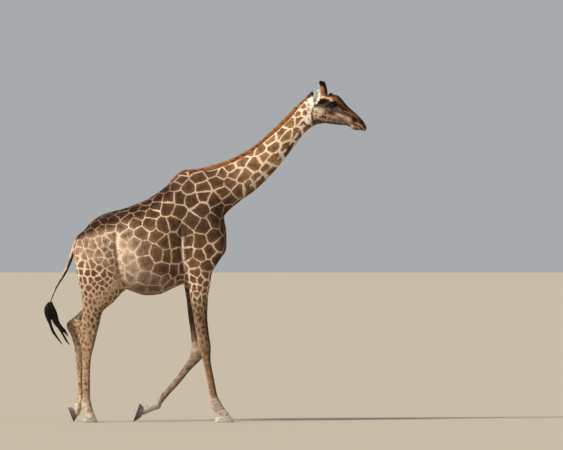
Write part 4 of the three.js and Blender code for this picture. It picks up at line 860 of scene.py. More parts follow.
def markings(p, n, cells):
    """Tone inside and between the patches, distance inside a patch's border in mm, and how soft that border is."""
    x, y, z = p.T
    flow = p + wobble(p, 150, 3) * 7 + wobble(p, 46, 4) * 3.0
    edge, who, far = cells.look(flow)
    r = cells.rand[who]
    ones = np.ones(len(p))
    tone = np.tile(np.array(BROWN), (len(p), 1))
    line = np.tile(np.array(CREAM), (len(p), 1))
    # neck: paler patches above, long russet ones at the throat
    s = (x - 112) * 0.766 + (z - 2530) * 0.643
    neck = step(60, 300, s)
    tone = mix(tone, (0.200, 0.104, 0.048), neck)
    line = mix(line, (0.76, 0.575, 0.41), neck)
    low = step(0.35, 0.9, -n[:, 2]) * neck * (x < 1160)
    tone = mix(tone, (0.240, 0.112, 0.048), low * 0.6)
    throat = step(1000, 1120, x) * step(3180, 3260, z) * step(0.1, -0.4, n[:, 2]) * (x < 1215)
    line = mix(line, (0.86, 0.78, 0.68), throat * 0.85)
    tone = mix(tone, (0.30, 0.195, 0.120), throat * 0.35)
    line = mix(line, (0.66, 0.48, 0.33), step(0.55, 0.98, -n[:, 2]) * neck * 0.8)
    row = np.full(len(p), 999.0)
    long_neck = (x > 400) & (x < 1140) & (z > 2480) & (np.abs(y) > 20)
    row[long_neck] = polyline_distance(x[long_neck], z[long_neck], np.array([(452, 2552), (484, 2580), (600, 2680), (711, 2789), (840, 2934), (953, 3080), (1040, 3195), (1085, 3260)], float))[0]
    row = np.exp(-(row / 36) ** 2)
    line = mix(line, (0.78, 0.66, 0.54), row * 0.8)
    collar = np.exp(-(((x - 1115) / 62) ** 2 + ((z - 3262) / 74) ** 2)) * (np.abs(y) > 20)
    line = mix(line, (0.84, 0.77, 0.69), collar * 0.8)
    tone = mix(tone, (0.120, 0.074, 0.048), collar * 0.6)
    strip = np.stack([s, y * 2.0, (-(x - 112) * 0.643 + (z - 2530) * 0.766) * 3.0], 1) * np.array([0.5, 1, 1])
    strip = grain(strip, 110, 78) * step(-0.05, 0.45, -n[:, 2]) * neck * (x < 1160)
    tone = mix(tone, (0.36, 0.185, 0.080), step(0.2, 1.0, strip) * 0.75)
    tone = mix(tone, (0.070, 0.030, 0.014), step(-0.2, -1.0, strip) * 0.75)
    # back: dark patches and thin tan lines
    ridge = np.interp(x, [-1500, -1350, -1200, -1050, -900, -700, -560, -450, -300, -150, 0], [2060, 2170, 2240, 2300, 2350, 2410, 2500, 2590, 2680, 2700, 2600])
    back = step(235, 95, ridge - z) * step(-230, -420, x) * (z > 1900)
    back = np.maximum(back, step(150, 40, ridge - z) * step(-1130, -1250, x) * (z > 1850))
    tone = mix(tone, (0.018, 0.007, 0.003), back * 0.95)
    line = mix(line, (0.33, 0.142, 0.053), back * 0.85)
    mid = step(380, 220, ridge - z) * (1 - back) * step(-230, -420, x) * (z > 1900)
    tone = mix(tone, (0.070, 0.034, 0.016), mid * 0.85)
    # haunch and thigh: paler above, partly painted sunlight, small dark spots below, plain tan along the front edge
    haunch = step(-905, -960, x - (2156 - z) * 0.095) * step(1180, 1300, z) * (1 - back) * step(2180, 2080, z)
    tone = mix(tone, (0.300, 0.188, 0.115), haunch * step(1600, 1850, z) * 0.9)
    tone = mix(tone, (0.120, 0.060, 0.030), haunch * step(1750, 1560, z) * 0.9)
    line = mix(line, (0.74, 0.56, 0.40), haunch)
    line = mix(line, (0.52, 0.37, 0.24), haunch * step(1640, 1480, z))
    front = step(-12, 8, x - np.interp(z, [1480, 1560, 1660, 1790, 1930, 2040, 2150], [-850, -905, -934, -952, -964, -970, -976]))
    washed = wash(p, tone, line, WASHES)
    tone, line = mix(tone, washed[0], front), mix(line, washed[1], front)
    # painted light along the belly's edge just in front of the thigh fold
    rim = x - np.interp(z, [1560, 1660, 1790, 1930, 2040, 2150], [-905, -934, -952, -964, -970, -976])
    rim = step(-4, 8, rim) * step(60, 14, rim) * step(2120, 1990, z) * step(1560, 1660, z)
    tone, line = mix(tone, (0.64, 0.50, 0.38), rim * 0.6), mix(line, (0.80, 0.67, 0.54), rim * 0.6)
    rim = x - np.interp(z, [1640, 1760, 1900, 2000, 2200], [-212, -232, -236, -232, -226])
    # a painted highlight down the upper arm's rear edge
    arm = np.exp(-(rim / 11) ** 2) * step(2060, 1960, z) * step(1620, 1690, z) * (y < 0)
    tone, line = mix(tone, (0.70, 0.56, 0.43), arm * 0.7), mix(line, (0.78, 0.64, 0.50), arm * 0.7)
    # painted shade in the hollow just behind the upper arm's lit edge
    shade = np.exp(-((rim + 34) / 22) ** 2) * step(2120, 1980, z) * step(1600, 1700, z)
    tone, line = mix(tone, (0.050, 0.027, 0.016), shade * 0.6), mix(line, (0.20, 0.13, 0.085), shade * 0.6)
    bared = haunch * step(70, 10, np.abs(x - np.interp(z, [1300, 1420, 1480, 1560, 1700, 1800], [-1140, -1045, -985, -925, -960, -975])) - 10) * step(1780, 1640, z)
    tone = mix(tone, (0.30, 0.185, 0.108), bared * 0.9)
    line = mix(line, (0.36, 0.235, 0.145), bared * 0.8)
    # painted shade along the fold at the thigh's front edge
    thigh_fold_shade = x - np.interp(z, [1560, 1660, 1790, 1930, 2040, 2150], [-928, -946, -966, -978, -984, -990])
    thigh_fold_shade = np.exp(-(thigh_fold_shade / 15) ** 2) * step(2150, 2060, z) * step(1620, 1720, z) * haunch
    tone, line = mix(tone, (0.15, 0.085, 0.045), thigh_fold_shade * 0.8), mix(line, (0.20, 0.12, 0.068), thigh_fold_shade * 0.8)
    # chest and throat front, darker: painted shade on the faces turned forwards
    chest_front_shade = step(0.25, 0.95, n[:, 0]) * step(1500, 1750, z) * step(2900, 2500, z) * (x > 60) * (x < 700)
    tone = mix(tone, (0.060, 0.029, 0.015), chest_front_shade * 0.85)
    line = mix(line, (0.21, 0.130, 0.078), chest_front_shade * 0.8)
    # belly below, and the armpit
    under = step(0.5, 0.95, -n[:, 2]) * (z > 1300) * (z < 1800) * (x < -250) * (x > -1000)
    tone = mix(tone, (0.20, 0.135, 0.088), under * 0.75)
    line = mix(line, (0.30, 0.22, 0.15), under * 0.75)
    # legs
    leg = step(1500, 1200, z)
    near = y < 0
    fore = leg * (x > -800) * (x > -900)
    hind = leg * (x < -1000)
    tone = mix(tone, (0.058, 0.029, 0.013), fore * 0.9)
    line = mix(line, (0.220, 0.127, 0.064), fore * 0.95)
    tone = mix(tone, (0.100, 0.052, 0.026), hind * 0.9)
    line = mix(line, (0.44, 0.285, 0.165), hind)
    knee = np.exp(-(((z - 905) / 75) ** 2)) * (x > -200) * near
    tone, line = mix(tone, (0.062, 0.036, 0.020), knee * 0.8), mix(line, (0.19, 0.118, 0.066), knee * 0.7)
    dusty = step(900, 700, z) * (x > -800)
    tone = mix(tone, (0.120, 0.064, 0.029), dusty * 0.8)
    line = mix(line, (0.25, 0.145, 0.070), dusty * 0.85)
    # the far legs' inner faces: painted shade above the knee, a paler tan below it
    turned = step(0.22, -0.35, n[:, 1])
    far_fore = ((~near) & (x > -800) & (z < 1500)) * turned
    tone = mix(tone, (0.052, 0.038, 0.028), far_fore * step(850, 905, z) * step(1560, 1400, z) * 0.9)
    line = mix(line, (0.085, 0.062, 0.045), far_fore * step(850, 905, z) * step(1560, 1400, z) * 0.9)
    tone = mix(tone, (0.190, 0.118, 0.068), far_fore * step(900, 870, z) * 0.6)
    cap = np.exp(-(((x + 112) / 74) ** 2 + ((z - 800) / 84) ** 2)) * (~near) * (x > -800)
    tone, line = mix(tone, (0.300, 0.225, 0.165), cap * 0.9), mix(line, (0.42, 0.325, 0.245), cap * 0.9)
    # painted shade on the far fore cannon's faces turned forwards and down
    painted_shade_underside = step(0.30, 0.85, n[:, 0] * 0.6 - n[:, 2] * 0.8) * (~near) * (x > -640) * (x < -60) * step(860, 800, z) * (z > 250)
    tone, line = mix(tone, (0.035, 0.022, 0.014), painted_shade_underside * 0.75), mix(line, (0.050, 0.032, 0.020), painted_shade_underside * 0.75)
    # painted shade on the near legs' faces turned forwards
    painted_shade_front = step(0.12, 0.85, n[:, 0]) * near * leg * np.where(x > -300, 0.66, 0.45)
    tone, line = mix(tone, (0.034, 0.019, 0.011), painted_shade_front), mix(line, (0.075, 0.044, 0.026), painted_shade_front)
    # painted light on the near foreleg's faces turned backwards
    painted_light_rear = step(-0.35, -0.95, n[:, 0]) * leg * (x > -300) * near * 0.5
    tone, line = mix(tone, (0.30, 0.20, 0.125), painted_light_rear), mix(line, (0.42, 0.29, 0.19), painted_light_rear)
    far_hind = ((~near) & (x < -1000) & (z < 1500)) * turned
    # painted shade on the far hind gaskin's inner face
    far_gaskin_shade = far_hind * step(1195, 1275, z + (x + 1560) * 0.55) * step(1500, 1380, z)
    tone, line = mix(tone, (0.085, 0.060, 0.044), far_gaskin_shade * 0.8), mix(line, (0.130, 0.098, 0.074), far_gaskin_shade * 0.8)
    limb = (z < 1450)
    inner = step(0.2, 0.9, np.where(near, n[:, 1], -n[:, 1])) * limb * step(20, 60, np.abs(y)) * (1 - far_gaskin_shade) * (1 - far_fore * step(860, 900, z))
    tone = mix(tone, (0.28, 0.185, 0.115), inner * 0.35)
    line = mix(line, (0.42, 0.29, 0.19), inner * 0.5)
    hock = np.exp(-(((x + 1555) / 60) ** 2 + ((z - 1150) / 70) ** 2)) * far_hind
    tone, line = mix(tone, (0.42, 0.32, 0.245), hock * 0.8), mix(line, (0.48, 0.38, 0.29), hock * 0.8)
    foot = step(320, 190, z) * ((x > 0) | (x < -1150)) + step(320, 235, z) * (x > -800) * (x < -480)
    foot = np.clip(foot, 0, 1)
    tone = mix(tone, (0.42, 0.33, 0.25), foot * 0.85)
    line = mix(line, (0.50, 0.41, 0.32), foot * 0.85)
    # tail: cream behind; black along its front and underside, partly its black hair and partly painted shade
    s, h = cells.tail.local(p)
    tail = (s > -60) & (np.abs(y) < 46) & (x < -1395) & (z < 2010) & (np.abs(h) < 48) & (cells.tail.distance(p) < 3)
    t_mid = (cells.tail.at(0, s) + cells.tail.at(1, s)) / 2
    dark = step(-2, 5, h - t_mid)[tail]
    tone[tail] = mix(np.tile(np.array((0.42, 0.30, 0.20)), (tail.sum(), 1)), (0.022, 0.015, 0.012), dark * step(20, 110, s[tail]))
    line[tail] = mix(np.tile(np.array((0.58, 0.44, 0.31)), (tail.sum(), 1)), (0.022, 0.015, 0.012), dark * step(20, 110, s[tail]))
    # half the width of the pale lines, and how sharp they are
    spots = np.clip(haunch * step(1720, 1480, z) + leg, 0, 1)
    half = 8.0 + 0.6 * neck - 3.0 * back - 1.2 * (x < -950) * (z > 1700) + 1.5 * spots
    half = half * np.clip(0.95 + 0.28 * grain(p, 260, 9), 0.80, 1.6) + row * (7 + 6 * grain(p, 120, 79)) + collar * (8 + 8 * grain(p, 60, 81) + 4 * grain(p, 26, 84))
    soft = 2.6 + 3.2 * leg + 5.0 * dusty
    inside = edge - half
    # the long patches of the throat end at a ragged pale line along the neck's side
    cut = 36 * np.sqrt(-np.log(np.maximum(row, 1e-9))) - (6 + 6 * grain(p, 90, 82) + 3.5 * grain(p, 28, 83))
    inside = np.where(row > 0.05, np.minimum(inside, cut), inside)
    # low on the thigh and on the legs the patches shrink to rounder spots with wide gaps
    size = cell_size(p)
    ball = size * (0.46 + 0.20 * step(1350, 1560, z) + 0.20 * r[:, 1]) - far
    inside = np.where(spots > 0, inside * (1 - spots) + spots * np.minimum(inside, ball), inside)
    # a patch is darker towards its middle, and no two are the same
    deep = step(2, 46, inside)
    tone = tone * (1.20 - 0.38 * deep + 0.26 * (r[:, 0] - 0.5))[:, None]
    fleck = np.clip(1 + 0.15 * grain(p, 70, 12) + 0.19 * grain(p, 26, 13) + 0.15 * grain(p, 13, 15), 0.45, 1.7)
    tone = tone * fleck[:, None]
    # the lower legs are mottled across, the forearm lengthways
    mottle = grain(p * np.array([1.0, 1.0, 2.3]), 52, 33) * step(1300, 1100, z) * ((x < -1000) | (z < 800)) + grain(p * np.array([2.3, 2.3, 0.8]), 70, 34) * step(1500, 1300, z) * step(780, 860, z) * (x > -300)
    mottle = np.clip(1 + 0.26 * mottle, 0.45, 1.5)[:, None]
    tone, line = tone * mottle, line * mottle
    dim = np.exp(-(((x + 30) / 400) ** 4 + ((z - 2430) / 460) ** 4))
    tone, line = tone * (1 - 0.28 * dim)[:, None], line * (1 - 0.25 * dim)[:, None]
    grey = (step(860, 640, z) * (~near) * (x > -800) * (x < 60))[:, None] * np.array([0.20, 0.13, 0.02])
    tone, line = tone * (1 - grey), line * (1 - grey)
    line = line * (1 + 0.07 * grain(p, 90, 14) + 0.06 * grain(p, 22, 16))[:, None]
    bare = np.zeros(len(p))
    head = (x > 1120) & (z > 3130)
    if head.any():
        tone[head], line[head], inside[head], bare[head] = face_paint(p[head], n[head], tone[head], line[head], inside[head])
    return tone, line, inside, soft * ones, bare


def face_paint(p, n, tone, line, inside):
    x, y, z = p.T
    ay = np.abs(y)
    bare = np.zeros(len(p))
    # where the head begins: white band at poll and behind the jaw
    onto = step(1150, 1215, x + (z - 3450) * -0.15)
    white = (0.78, 0.70, 0.60)
    jaw_tone, jaw_line = (0.165, 0.096, 0.056), (0.46, 0.36, 0.27)
    tone = mix(tone, jaw_tone, onto)
    line = mix(line, jaw_line, onto)
    band = np.exp(-(((x - 1188) + (z - 3480) * 0.50) / 36) ** 2) * step(3390, 3470, z)
    tone, line = mix(tone, white, band * 0.97), mix(line, white, band * 0.97)

    def daub(cx, cz, rx, rz, pitch, colour, amount, power=2.4, tall=None):
        nonlocal tone, line
        c, s = math.cos(math.radians(pitch)), math.sin(math.radians(pitch))
        u = ((x - cx) * c + (z - cz) * s) / rx
        v = (-(x - cx) * s + (z - cz) * c) / rz
        w = amount * np.exp(-(np.abs(u) ** power + np.abs(v) ** power))
        if tall is not None:
            w = w * tall
        tone, line = mix(tone, colour, w), mix(line, colour, w)
        return w

    def streak(points, wide, colour, amount):
        nonlocal tone, line
        t, _, _ = polyline_distance(x, z, np.array(points, float))
        w = amount * np.exp(-(t / wide) ** 2)
        tone, line = mix(tone, colour, w), mix(line, colour, w)

    # the pattern of the cheek is broken and fades forwards
    fade = step(1290, 1480, x) * step(3500, 3440, z)
    tone = mix(tone, (0.27, 0.195, 0.14), fade * 0.75)
    line = mix(line, (0.34, 0.255, 0.19), fade * 0.75)
    inside = inside - 4.5 * onto * grain(p, 60, 27) + 1.5 * onto
    # crown, brow and bridge of the nose: brown without patches
    top = 3454 + (x - 1223) * -0.445
    high = (z - top)
    crown = step(90, 140, high) * step(1385, 1430, x) + step(52, 92, high) * step(1470, 1520, x)
    crown = np.clip(crown, 0, 1)
    brown = (0.082, 0.036, 0.014)
    tone, line = mix(tone, brown, crown), mix(line, brown, crown)
    side_nose = step(-4, 50, high) * step(1440, 1500, x) * (1 - crown)
    tone, line = mix(tone, (0.125, 0.066, 0.034), side_nose * 0.9), mix(line, (0.125, 0.066, 0.034), side_nose * 0.9)
    daub(1290, 3590, 90, 46, 0, (0.30, 0.165, 0.075), 0.85)
    daub(1310, 3600, 40, 26, 0, (0.34, 0.19, 0.085), 0.7)
    daub(1400, 3592, 80, 26, -8, (0.070, 0.034, 0.016), 0.9)
    daub(1455, 3560, 40, 26, -40, (0.20, 0.098, 0.036), 0.55)
    streak([(1464, 3592), (1516, 3540), (1560, 3490), (1640, 3410), (1716, 3342)], 13, (0.024, 0.014, 0.010), 0.9)
    streak([(1560, 3452), (1625, 3392), (1680, 3346)], 9, (0.26, 0.13, 0.05), 0.55)
    streak([(1520, 3470), (1580, 3412), (1650, 3352)], 7, (0.045, 0.026, 0.016), 0.75)
    streak([(1480, 3530), (1520, 3488), (1560, 3440)], 8, (0.055, 0.028, 0.014), 0.6)
    run = np.stack([(x - 1400) * 0.80 - (z - 3500) * 0.60, y * 1.5, (x - 1400) * 0.60 + (z - 3500) * 0.80], 1) * np.array([0.45, 1.0, 1.9])
    run = (0.75 * grain(run, 58, 57) + 0.75 * grain(run, 26, 58)) * np.clip(crown + side_nose, 0, 1) * (z > 3320)
    tone, line = mix(tone, (0.34, 0.170, 0.055), step(0.25, 1.2, run) * 0.55), mix(line, (0.34, 0.170, 0.055), step(0.25, 1.2, run) * 0.55)
    tone, line = mix(tone, (0.028, 0.014, 0.008), step(-0.25, -1.2, run) * 0.65), mix(line, (0.028, 0.014, 0.008), step(-0.25, -1.2, run) * 0.65)
    ridge = step(30, 6, ay) * step(1560, 1660, x) * step(10, 60, high)
    tone, line = mix(tone, (0.035, 0.020, 0.013), ridge * 0.85), mix(line, (0.035, 0.020, 0.013), ridge * 0.85)
    # dark patch from the ear's root to the eye, and the grey skin below the eye
    daub(1322, 3524, 80, 30, -16, (0.026, 0.018, 0.014), 0.97, 3.2)
    daub(1264, 3530, 20, 34, 0, (0.012, 0.009, 0.008), 0.9)
    daub(1300, 3488, 70, 26, -18, (0.048, 0.031, 0.023), 0.9)
    daub(1350, 3512, 34, 14, -14, (0.075, 0.062, 0.056), 0.5)
    daub(1400, 3434, 60, 34, -26, (0.100, 0.080, 0.070), 0.96, 3.0)
    daub(1444, 3420, 40, 34, -30, (0.092, 0.074, 0.066), 0.9, 3.0)
    streak([(1212, 3478), (1272, 3478), (1330, 3438), (1400, 3386), (1420, 3372)], 20, (0.048, 0.027, 0.017), 0.95)
    daub(1272, 3385, 62, 66, 0, (0.56, 0.45, 0.37), 0.80)
    cheek = np.exp(-(np.abs((x - 1296) / 112) ** 4 + np.abs((z - 3366) / 76) ** 4))
    mid = np.exp(-(((x - 1268) / 42) ** 2 + ((z - 3382) / 40) ** 2))
    blot = np.maximum(step(0.25, 0.75, grain(p, 50, 71) - 0.7 * mid), step(0.35, 0.8, grain(p, 34, 72) - 0.2 * mid))
    tone, line = mix(tone, (0.088, 0.041, 0.021), cheek * blot * 0.92), mix(line, (0.088, 0.041, 0.021), cheek * blot * 0.92)
    daub(1292, 3398, 26, 22, 10, (0.46, 0.37, 0.29), 0.7)
    daub(1400, 3356, 34, 12, -24, (0.50, 0.37, 0.28), 0.75)
    streak([(1345, 3448), (1375, 3425)], 5, (0.33, 0.24, 0.18), 0.75)
    streak([(1470, 3452), (1498, 3412)], 5, (0.30, 0.22, 0.16), 0.7)
    # pale brow over the eye
    streak([(1271, 3566), (1311, 3574), (1361, 3560), (1410, 3522)], 9.5, (0.66, 0.44, 0.27), 0.97)
    daub(1290, 3572, 24, 12, 0, (0.60, 0.44, 0.30), 0.7)
    daub(1424, 3514, 18, 13, 0, (0.012, 0.009, 0.007), 0.92)
    # painted highlight along the cheek bone, then cheek, jaw and muzzle
    daub(1490, 3368, 52, 18, -24, (0.68, 0.575, 0.49), 1.0)
    streak([(1176, 3510), (1165, 3452), (1149, 3395), (1153, 3338)], 17, (0.70, 0.61, 0.52), 0.95)
    # painted shadow behind the jaw
    streak([(1190, 3448), (1182, 3400), (1174, 3345), (1196, 3300)], 9, (0.070, 0.040, 0.024), 0.85)
    streak([(1212, 3440), (1202, 3392), (1206, 3330)], 7, (0.52, 0.42, 0.33), 0.7)
    daub(1500, 3330, 100, 22, -14, (0.22, 0.150, 0.105), 0.65)
    daub(1572, 3334, 44, 22, -24, (0.64, 0.50, 0.40), 0.95)
    daub(1436, 3352, 40, 14, -8, (0.56, 0.42, 0.33), 0.85)
    daub(1420, 3350, 40, 20, -20, (0.36, 0.27, 0.20), 0.6)
    streak([(1187, 3302), (1300, 3290), (1440, 3274), (1560, 3258), (1600, 3254)], 14, (0.060, 0.032, 0.018), 0.8)
    streak([(1530, 3420), (1580, 3400), (1620, 3376)], 9, (0.34, 0.25, 0.19), 0.6)
    daub(1660, 3320, 64, 36, -36, (0.048, 0.025, 0.013), 0.93)
    pied = grain(p, 46, 73) * step(1585, 1630, x) * step(1740, 1700, x)
    tone, line = mix(tone, (0.26, 0.140, 0.058), step(0.3, 1.0, pied) * 0.6), mix(line, (0.26, 0.140, 0.058), step(0.3, 1.0, pied) * 0.6)
    tone, line = mix(tone, (0.022, 0.012, 0.008), step(-0.3, -1.0, pied) * 0.7), mix(line, (0.022, 0.012, 0.008), step(-0.3, -1.0, pied) * 0.7)
    daub(1690, 3266, 40, 11, -30, (0.26, 0.16, 0.09), 0.7)
    daub(1722, 3300, 36, 30, -50, (0.030, 0.020, 0.016), 0.92)
    daub(1752, 3240, 20, 38, -60, (0.020, 0.011, 0.009), 0.95)
    daub(1757, 3214, 12, 14, 0, (0.110, 0.042, 0.026), 0.7)
    chin = step(3262, 3250, z + (x - 1650) * 0.35) * step(1590, 1612, x)
    tone, line = mix(tone, (0.235, 0.130, 0.070), chin * 0.85), mix(line, (0.235, 0.130, 0.070), chin * 0.85)
    daub(1618, 3258, 14, 26, 20, (0.62, 0.46, 0.34), 0.8)
    t, along, _ = polyline_distance(x, z, MOUTH)
    lip = np.exp(-(t / 6.5) ** 2) * step(0, 0.1, along)
    tone, line = mix(tone, (0.020, 0.012, 0.009), lip * 0.96), mix(line, (0.020, 0.012, 0.009), lip * 0.96)
    rim = np.exp(-((t - 16) / 5.5) ** 2) * step(0.02, 0.2, along) * (z < 3290)
    tone, line = mix(tone, (0.44, 0.32, 0.21), rim * 0.6), mix(line, (0.44, 0.32, 0.21), rim * 0.6)
    bare = np.maximum(bare, lip * 0.8)
    for side in (-1, 1):
        m = y * side > 0
        a, r = almond(p, side)
        d = np.where(r < 80, a, 99)
        lid = step(21, 9, d) * m
        tone, line = mix(tone, (0.010, 0.007, 0.006), lid), mix(line, (0.010, 0.007, 0.006), lid)
        bare = np.maximum(bare, step(9, 3, d) * m * 0.8)
        q = np.linalg.norm(p - np.array([1736, side * 43, 3300]), axis=1)
        tone = mix(tone, (0.020, 0.014, 0.011), step(26, 13, q))
        line = mix(line, (0.020, 0.014, 0.011), step(26, 13, q))
    # a painted highlight beside the nostril
    daub(1716, 3322, 9, 6, -40, (0.40, 0.25, 0.13), 0.6, tall=step(30, 42, ay))
    daub(1440, 3490, 36, 18, -14, (0.008, 0.006, 0.005), 0.97)
    daub(1352, 3477, 42, 20, 12, (0.008, 0.006, 0.005), 0.97)
    daub(1404, 3513, 50, 13, 4, (0.010, 0.007, 0.006), 0.95)
    daub(1392, 3458, 42, 12, 10, (0.010, 0.007, 0.006), 0.9)
    # horns: tan shafts with black tips and a dark front
    for side in (-1, 1):
        u, h = on_horn(p)
        l = u * 192
        horn = step(22, 44, l) * (y * side > 0) * (ay < 110) * (x < 1400)
        shaft = np.array((0.285, 0.116, 0.031))
        tone, line = mix(tone, shaft, horn * 0.9), mix(line, shaft, horn * 0.9)
        tip = step(124, 146, l - h * 0.40) * horn
        front = step(5, -9, h) * horn * step(10, 80, l)
        dark = np.maximum(tip, front * 0.92)
        tone, line = mix(tone, (0.010, 0.007, 0.006), dark), mix(line, (0.010, 0.007, 0.006), dark)
    # ears: white outside, darker in the cup
    for side in (-1, 1):
        ear = Ear(side)
        u, v, w = ear.uvw(p)
        on = (u > -0.06) & (u < 1.1) & (np.abs(v) < 52) & (w > -40) & (w < 26) & (y * side > 84)
        on = on * step(-0.05, 0.12, u) * step(9, 3, ear.distance(p))
        tone, line = mix(tone, (0.82, 0.76, 0.70), on), mix(line, (0.82, 0.76, 0.70), on)
        cup = on * step(0.75, 0.1, np.abs(v + 4) / 26) * step(0.04, 0.16, u) * step(0.46, 0.26, u) * step(-2, 5, w + 22 * (1 - (v / 42) ** 2))
        dark = (0.20, 0.120, 0.075)
        tone, line = mix(tone, dark, cup * 0.85), mix(line, dark, cup * 0.85)
        # painted shadow at the ear's base
        ear_base_shadow = on * np.exp(-((u - 0.02) / 0.09) ** 2) * (v < 6)
        tone, line = mix(tone, (0.10, 0.050, 0.028), ear_base_shadow * 0.7), mix(line, (0.10, 0.050, 0.028), ear_base_shadow * 0.7)
    grey = (1 + 0.13 * grain(p, 26, 21) + 0.10 * grain(p, 11, 22))[:, None]
    firm = 0.30 * onto[:, None]
    tone = np.minimum(tone * (tone / 0.30) ** firm, 0.90) * grey
    line = np.minimum(line * (line / 0.30) ** firm, 0.90) * grey
    return tone, line, inside, bare


# ---- Which length a point lies on, and the unwrap of the skin -----------------------------------
class Unwrap:
    """Each length of the body opened flat round its own middle, packed in one square, with the ears and horns beside."""

    def __init__(self, flesh):
        self.names = [n for n in flesh.length]
        self.len = [flesh.length[n] for n in self.names]
        sizes = []
        for l in self.len:
            girth = 2 * math.pi * float(np.mean([np.mean(l.v[3]), np.mean((l.v[0] - l.v[1]) / 2)]))
            sizes.append((l.last - l.first + l.cap0 + l.cap1 + 60, max(girth, 80) * 1.1))
        sizes += [(260, 300)] * 2 + [(330, 300)] * 2
        self.sizes = np.array(sizes)
        self.scale, self.spot = self.pack()

    def pack(self):
        order = np.argsort(-self.sizes[:, 1])
        side = math.sqrt(self.sizes.prod(1).sum()) * 1.02
        while True:
            x = y = row = 0.0
            spot = np.zeros((len(self.sizes), 2))
            for i in order:
                w, h = self.sizes[i] + 14
                if x + w > side:
                    x, y, row = 0.0, y + row, 0.0
                spot[i] = (x + 7, y + 7)
                x, row = x + w, max(row, h)
            if y + row <= side and self.sizes[:, 0].max() + 14 <= side:
                return 1.0 / side, spot
            side *= 1.03

    def part(self, p):
        """The number of the length, ear or horn that each point belongs to."""
        d = np.stack([l.distance(p) for l in self.len], 1)
        k = d.argmin(1)
        n = len(self.len)
        for side in (0, 1):
            s = (-1, 1)[side]
            m = (p[:, 1] * s > 60) & (p[:, 2] > 3465) & (np.abs(p[:, 0] - 1225) < 95)
            if m.any():
                near = m.copy()
                u = Ear(s).uvw(p[m])[0]
                near[m] = (Ear(s).distance(p[m]) < 4) & (u > 0.1)
                k[near] = n + side
            m = (p[:, 1] * s > 10) & (p[:, 2] > 3540) & (np.abs(p[:, 0] - 1320) < 90)
            if m.any():
                near = m.copy()
                near[m] = Ossicone(s).distance(p[m]) < 5
                k[near] = n + 2 + side
        return k

    def flat(self, p, part, mid=None):
        """Along and round, in mm, of points on their parts; mid keeps a face's corners together."""
        out = np.zeros((len(p), 2))
        n = len(self.len)
        for k in np.unique(part):
            m = part == k
            q = p[m]
            if k < n:
                l = self.len[k]
                s, h = l.local(q)
                sc = np.clip(s, l.first, l.last)
                hi, lo, y0 = l.at(0, sc), l.at(1, sc), l.at(2, sc)
                a = np.arctan2((q[:, 1] - y0) * l.out, h - (hi + lo) / 2)
                along = s - l.first + l.cap0 + 30
                high = self.sizes[k, 1]
            elif k < n + 2:
                u, v, w = Ear((-1, 1)[k - n]).uvw(q)
                wall = w > -21 * (1 - (v / 42) ** 2)
                along, a = 20 + u * 160 + 4, None
                round_ = v + 55 + np.where(wall, 130, 0)
            else:
                s = (-1, 1)[k - n - 2]
                u, h = on_horn(q)
                a = np.arctan2(q[:, 1] - s * (53 + 15 * u), h)
                along, high = u * HORN[4] + 60, 220
            if a is not None:
                if mid is not None:
                    a = mid[m] + (a - mid[m] + math.pi) % (2 * math.pi) - math.pi
                round_ = (a / (2 * math.pi) * 0.9 + 0.5) * high
            out[m] = np.stack([along, round_], 1)
        return out

    def angle(self, p, part):
        f = self.flat(p, part)
        high = np.where(part < len(self.len), self.sizes[part, 1], 220.0)
        return (f[:, 1] / high - 0.5) / 0.9 * 2 * math.pi

    def uv(self, p, part, mid=None):
        return np.clip((self.flat(p, part, mid) + self.spot[part]) * self.scale, 0.0005, 0.9995)


LIE = {"trunk": (-1, -0.35), "neck": (-1, -0.12), "head": (-1, -0.1), "tail": (1, 0)}


def lie_of(flesh, unwrap, part, p, n):
    """The way the coat lies, along the skin."""
    out = np.zeros_like(p)
    for k in np.unique(part):
        m = part == k
        if k < len(unwrap.len):
            l = unwrap.len[k]
            a, down = LIE.get(unwrap.names[k], (1, 0))
            out[m] = np.array([l.c, 0, l.s]) * a + np.array([0, 0, down])
        elif k < len(unwrap.len) + 2:
            out[m] = Ear((-1, 1)[k - len(unwrap.len)]).along
        else:
            out[m] = (-0.10, 0, 0.99)
    out -= n * (out * n).sum(1)[:, None]
    return out / (np.linalg.norm(out, axis=1)[:, None] + 1e-9)


# ---- Hair as mesh ------------------------------------------------------------------------------
class Locks:
    """Closed tapered locks, each a three-sided spike that follows a path."""

    def __init__(self):
        self.v, self.f, self.shade, self.root, self.count = [], [], [], [], 0

    def add(self, path, side, up, width, thick, shade=None):
        """path (n, k, 3) from root to tip; side and up (n, k, 3); width and thick (n, k). The last point is the tip."""
        n, k = path.shape[:2]
        ring = k - 1
        w, t = width[:, :ring, None] / 2, thick[:, :ring, None]
        a = path[:, :ring] + side[:, :ring] * w
        b = path[:, :ring] - side[:, :ring] * w
        c = path[:, :ring] + up[:, :ring] * t
        v = np.concatenate([np.stack([a, c, b], 2).reshape(n, ring * 3, 3), path[:, -1:]], 1)
        m = ring * 3 + 1
        f = [[0, 2, 1]]
        for r in range(ring - 1):
            for i in range(3):
                j = (i + 1) % 3
                o = r * 3
                f += [[o + i, o + j, o + 3 + j], [o + i, o + 3 + j, o + 3 + i]]
        o = (ring - 1) * 3
        f += [[o, o + 1, m - 1], [o + 1, o + 2, m - 1], [o + 2, o, m - 1]]
        f = np.array(f)
        base = self.count + np.arange(n)[:, None, None] * m
        self.v.append(v.reshape(-1, 3))
        self.f.append((f[None] + base).reshape(-1, 3))
        along = np.concatenate([np.repeat(np.arange(ring) / ring, 3), [1.0]])
        self.shade.append(np.tile(along, n))
        self.root.append(np.repeat(np.arange(n) + (self.root[-1].max() + 1 if self.root else 0), m))
        self.count += n * m

    def arrays(self):
        return np.concatenate(self.v), np.concatenate(self.f), np.concatenate(self.shade), np.concatenate(self.root)


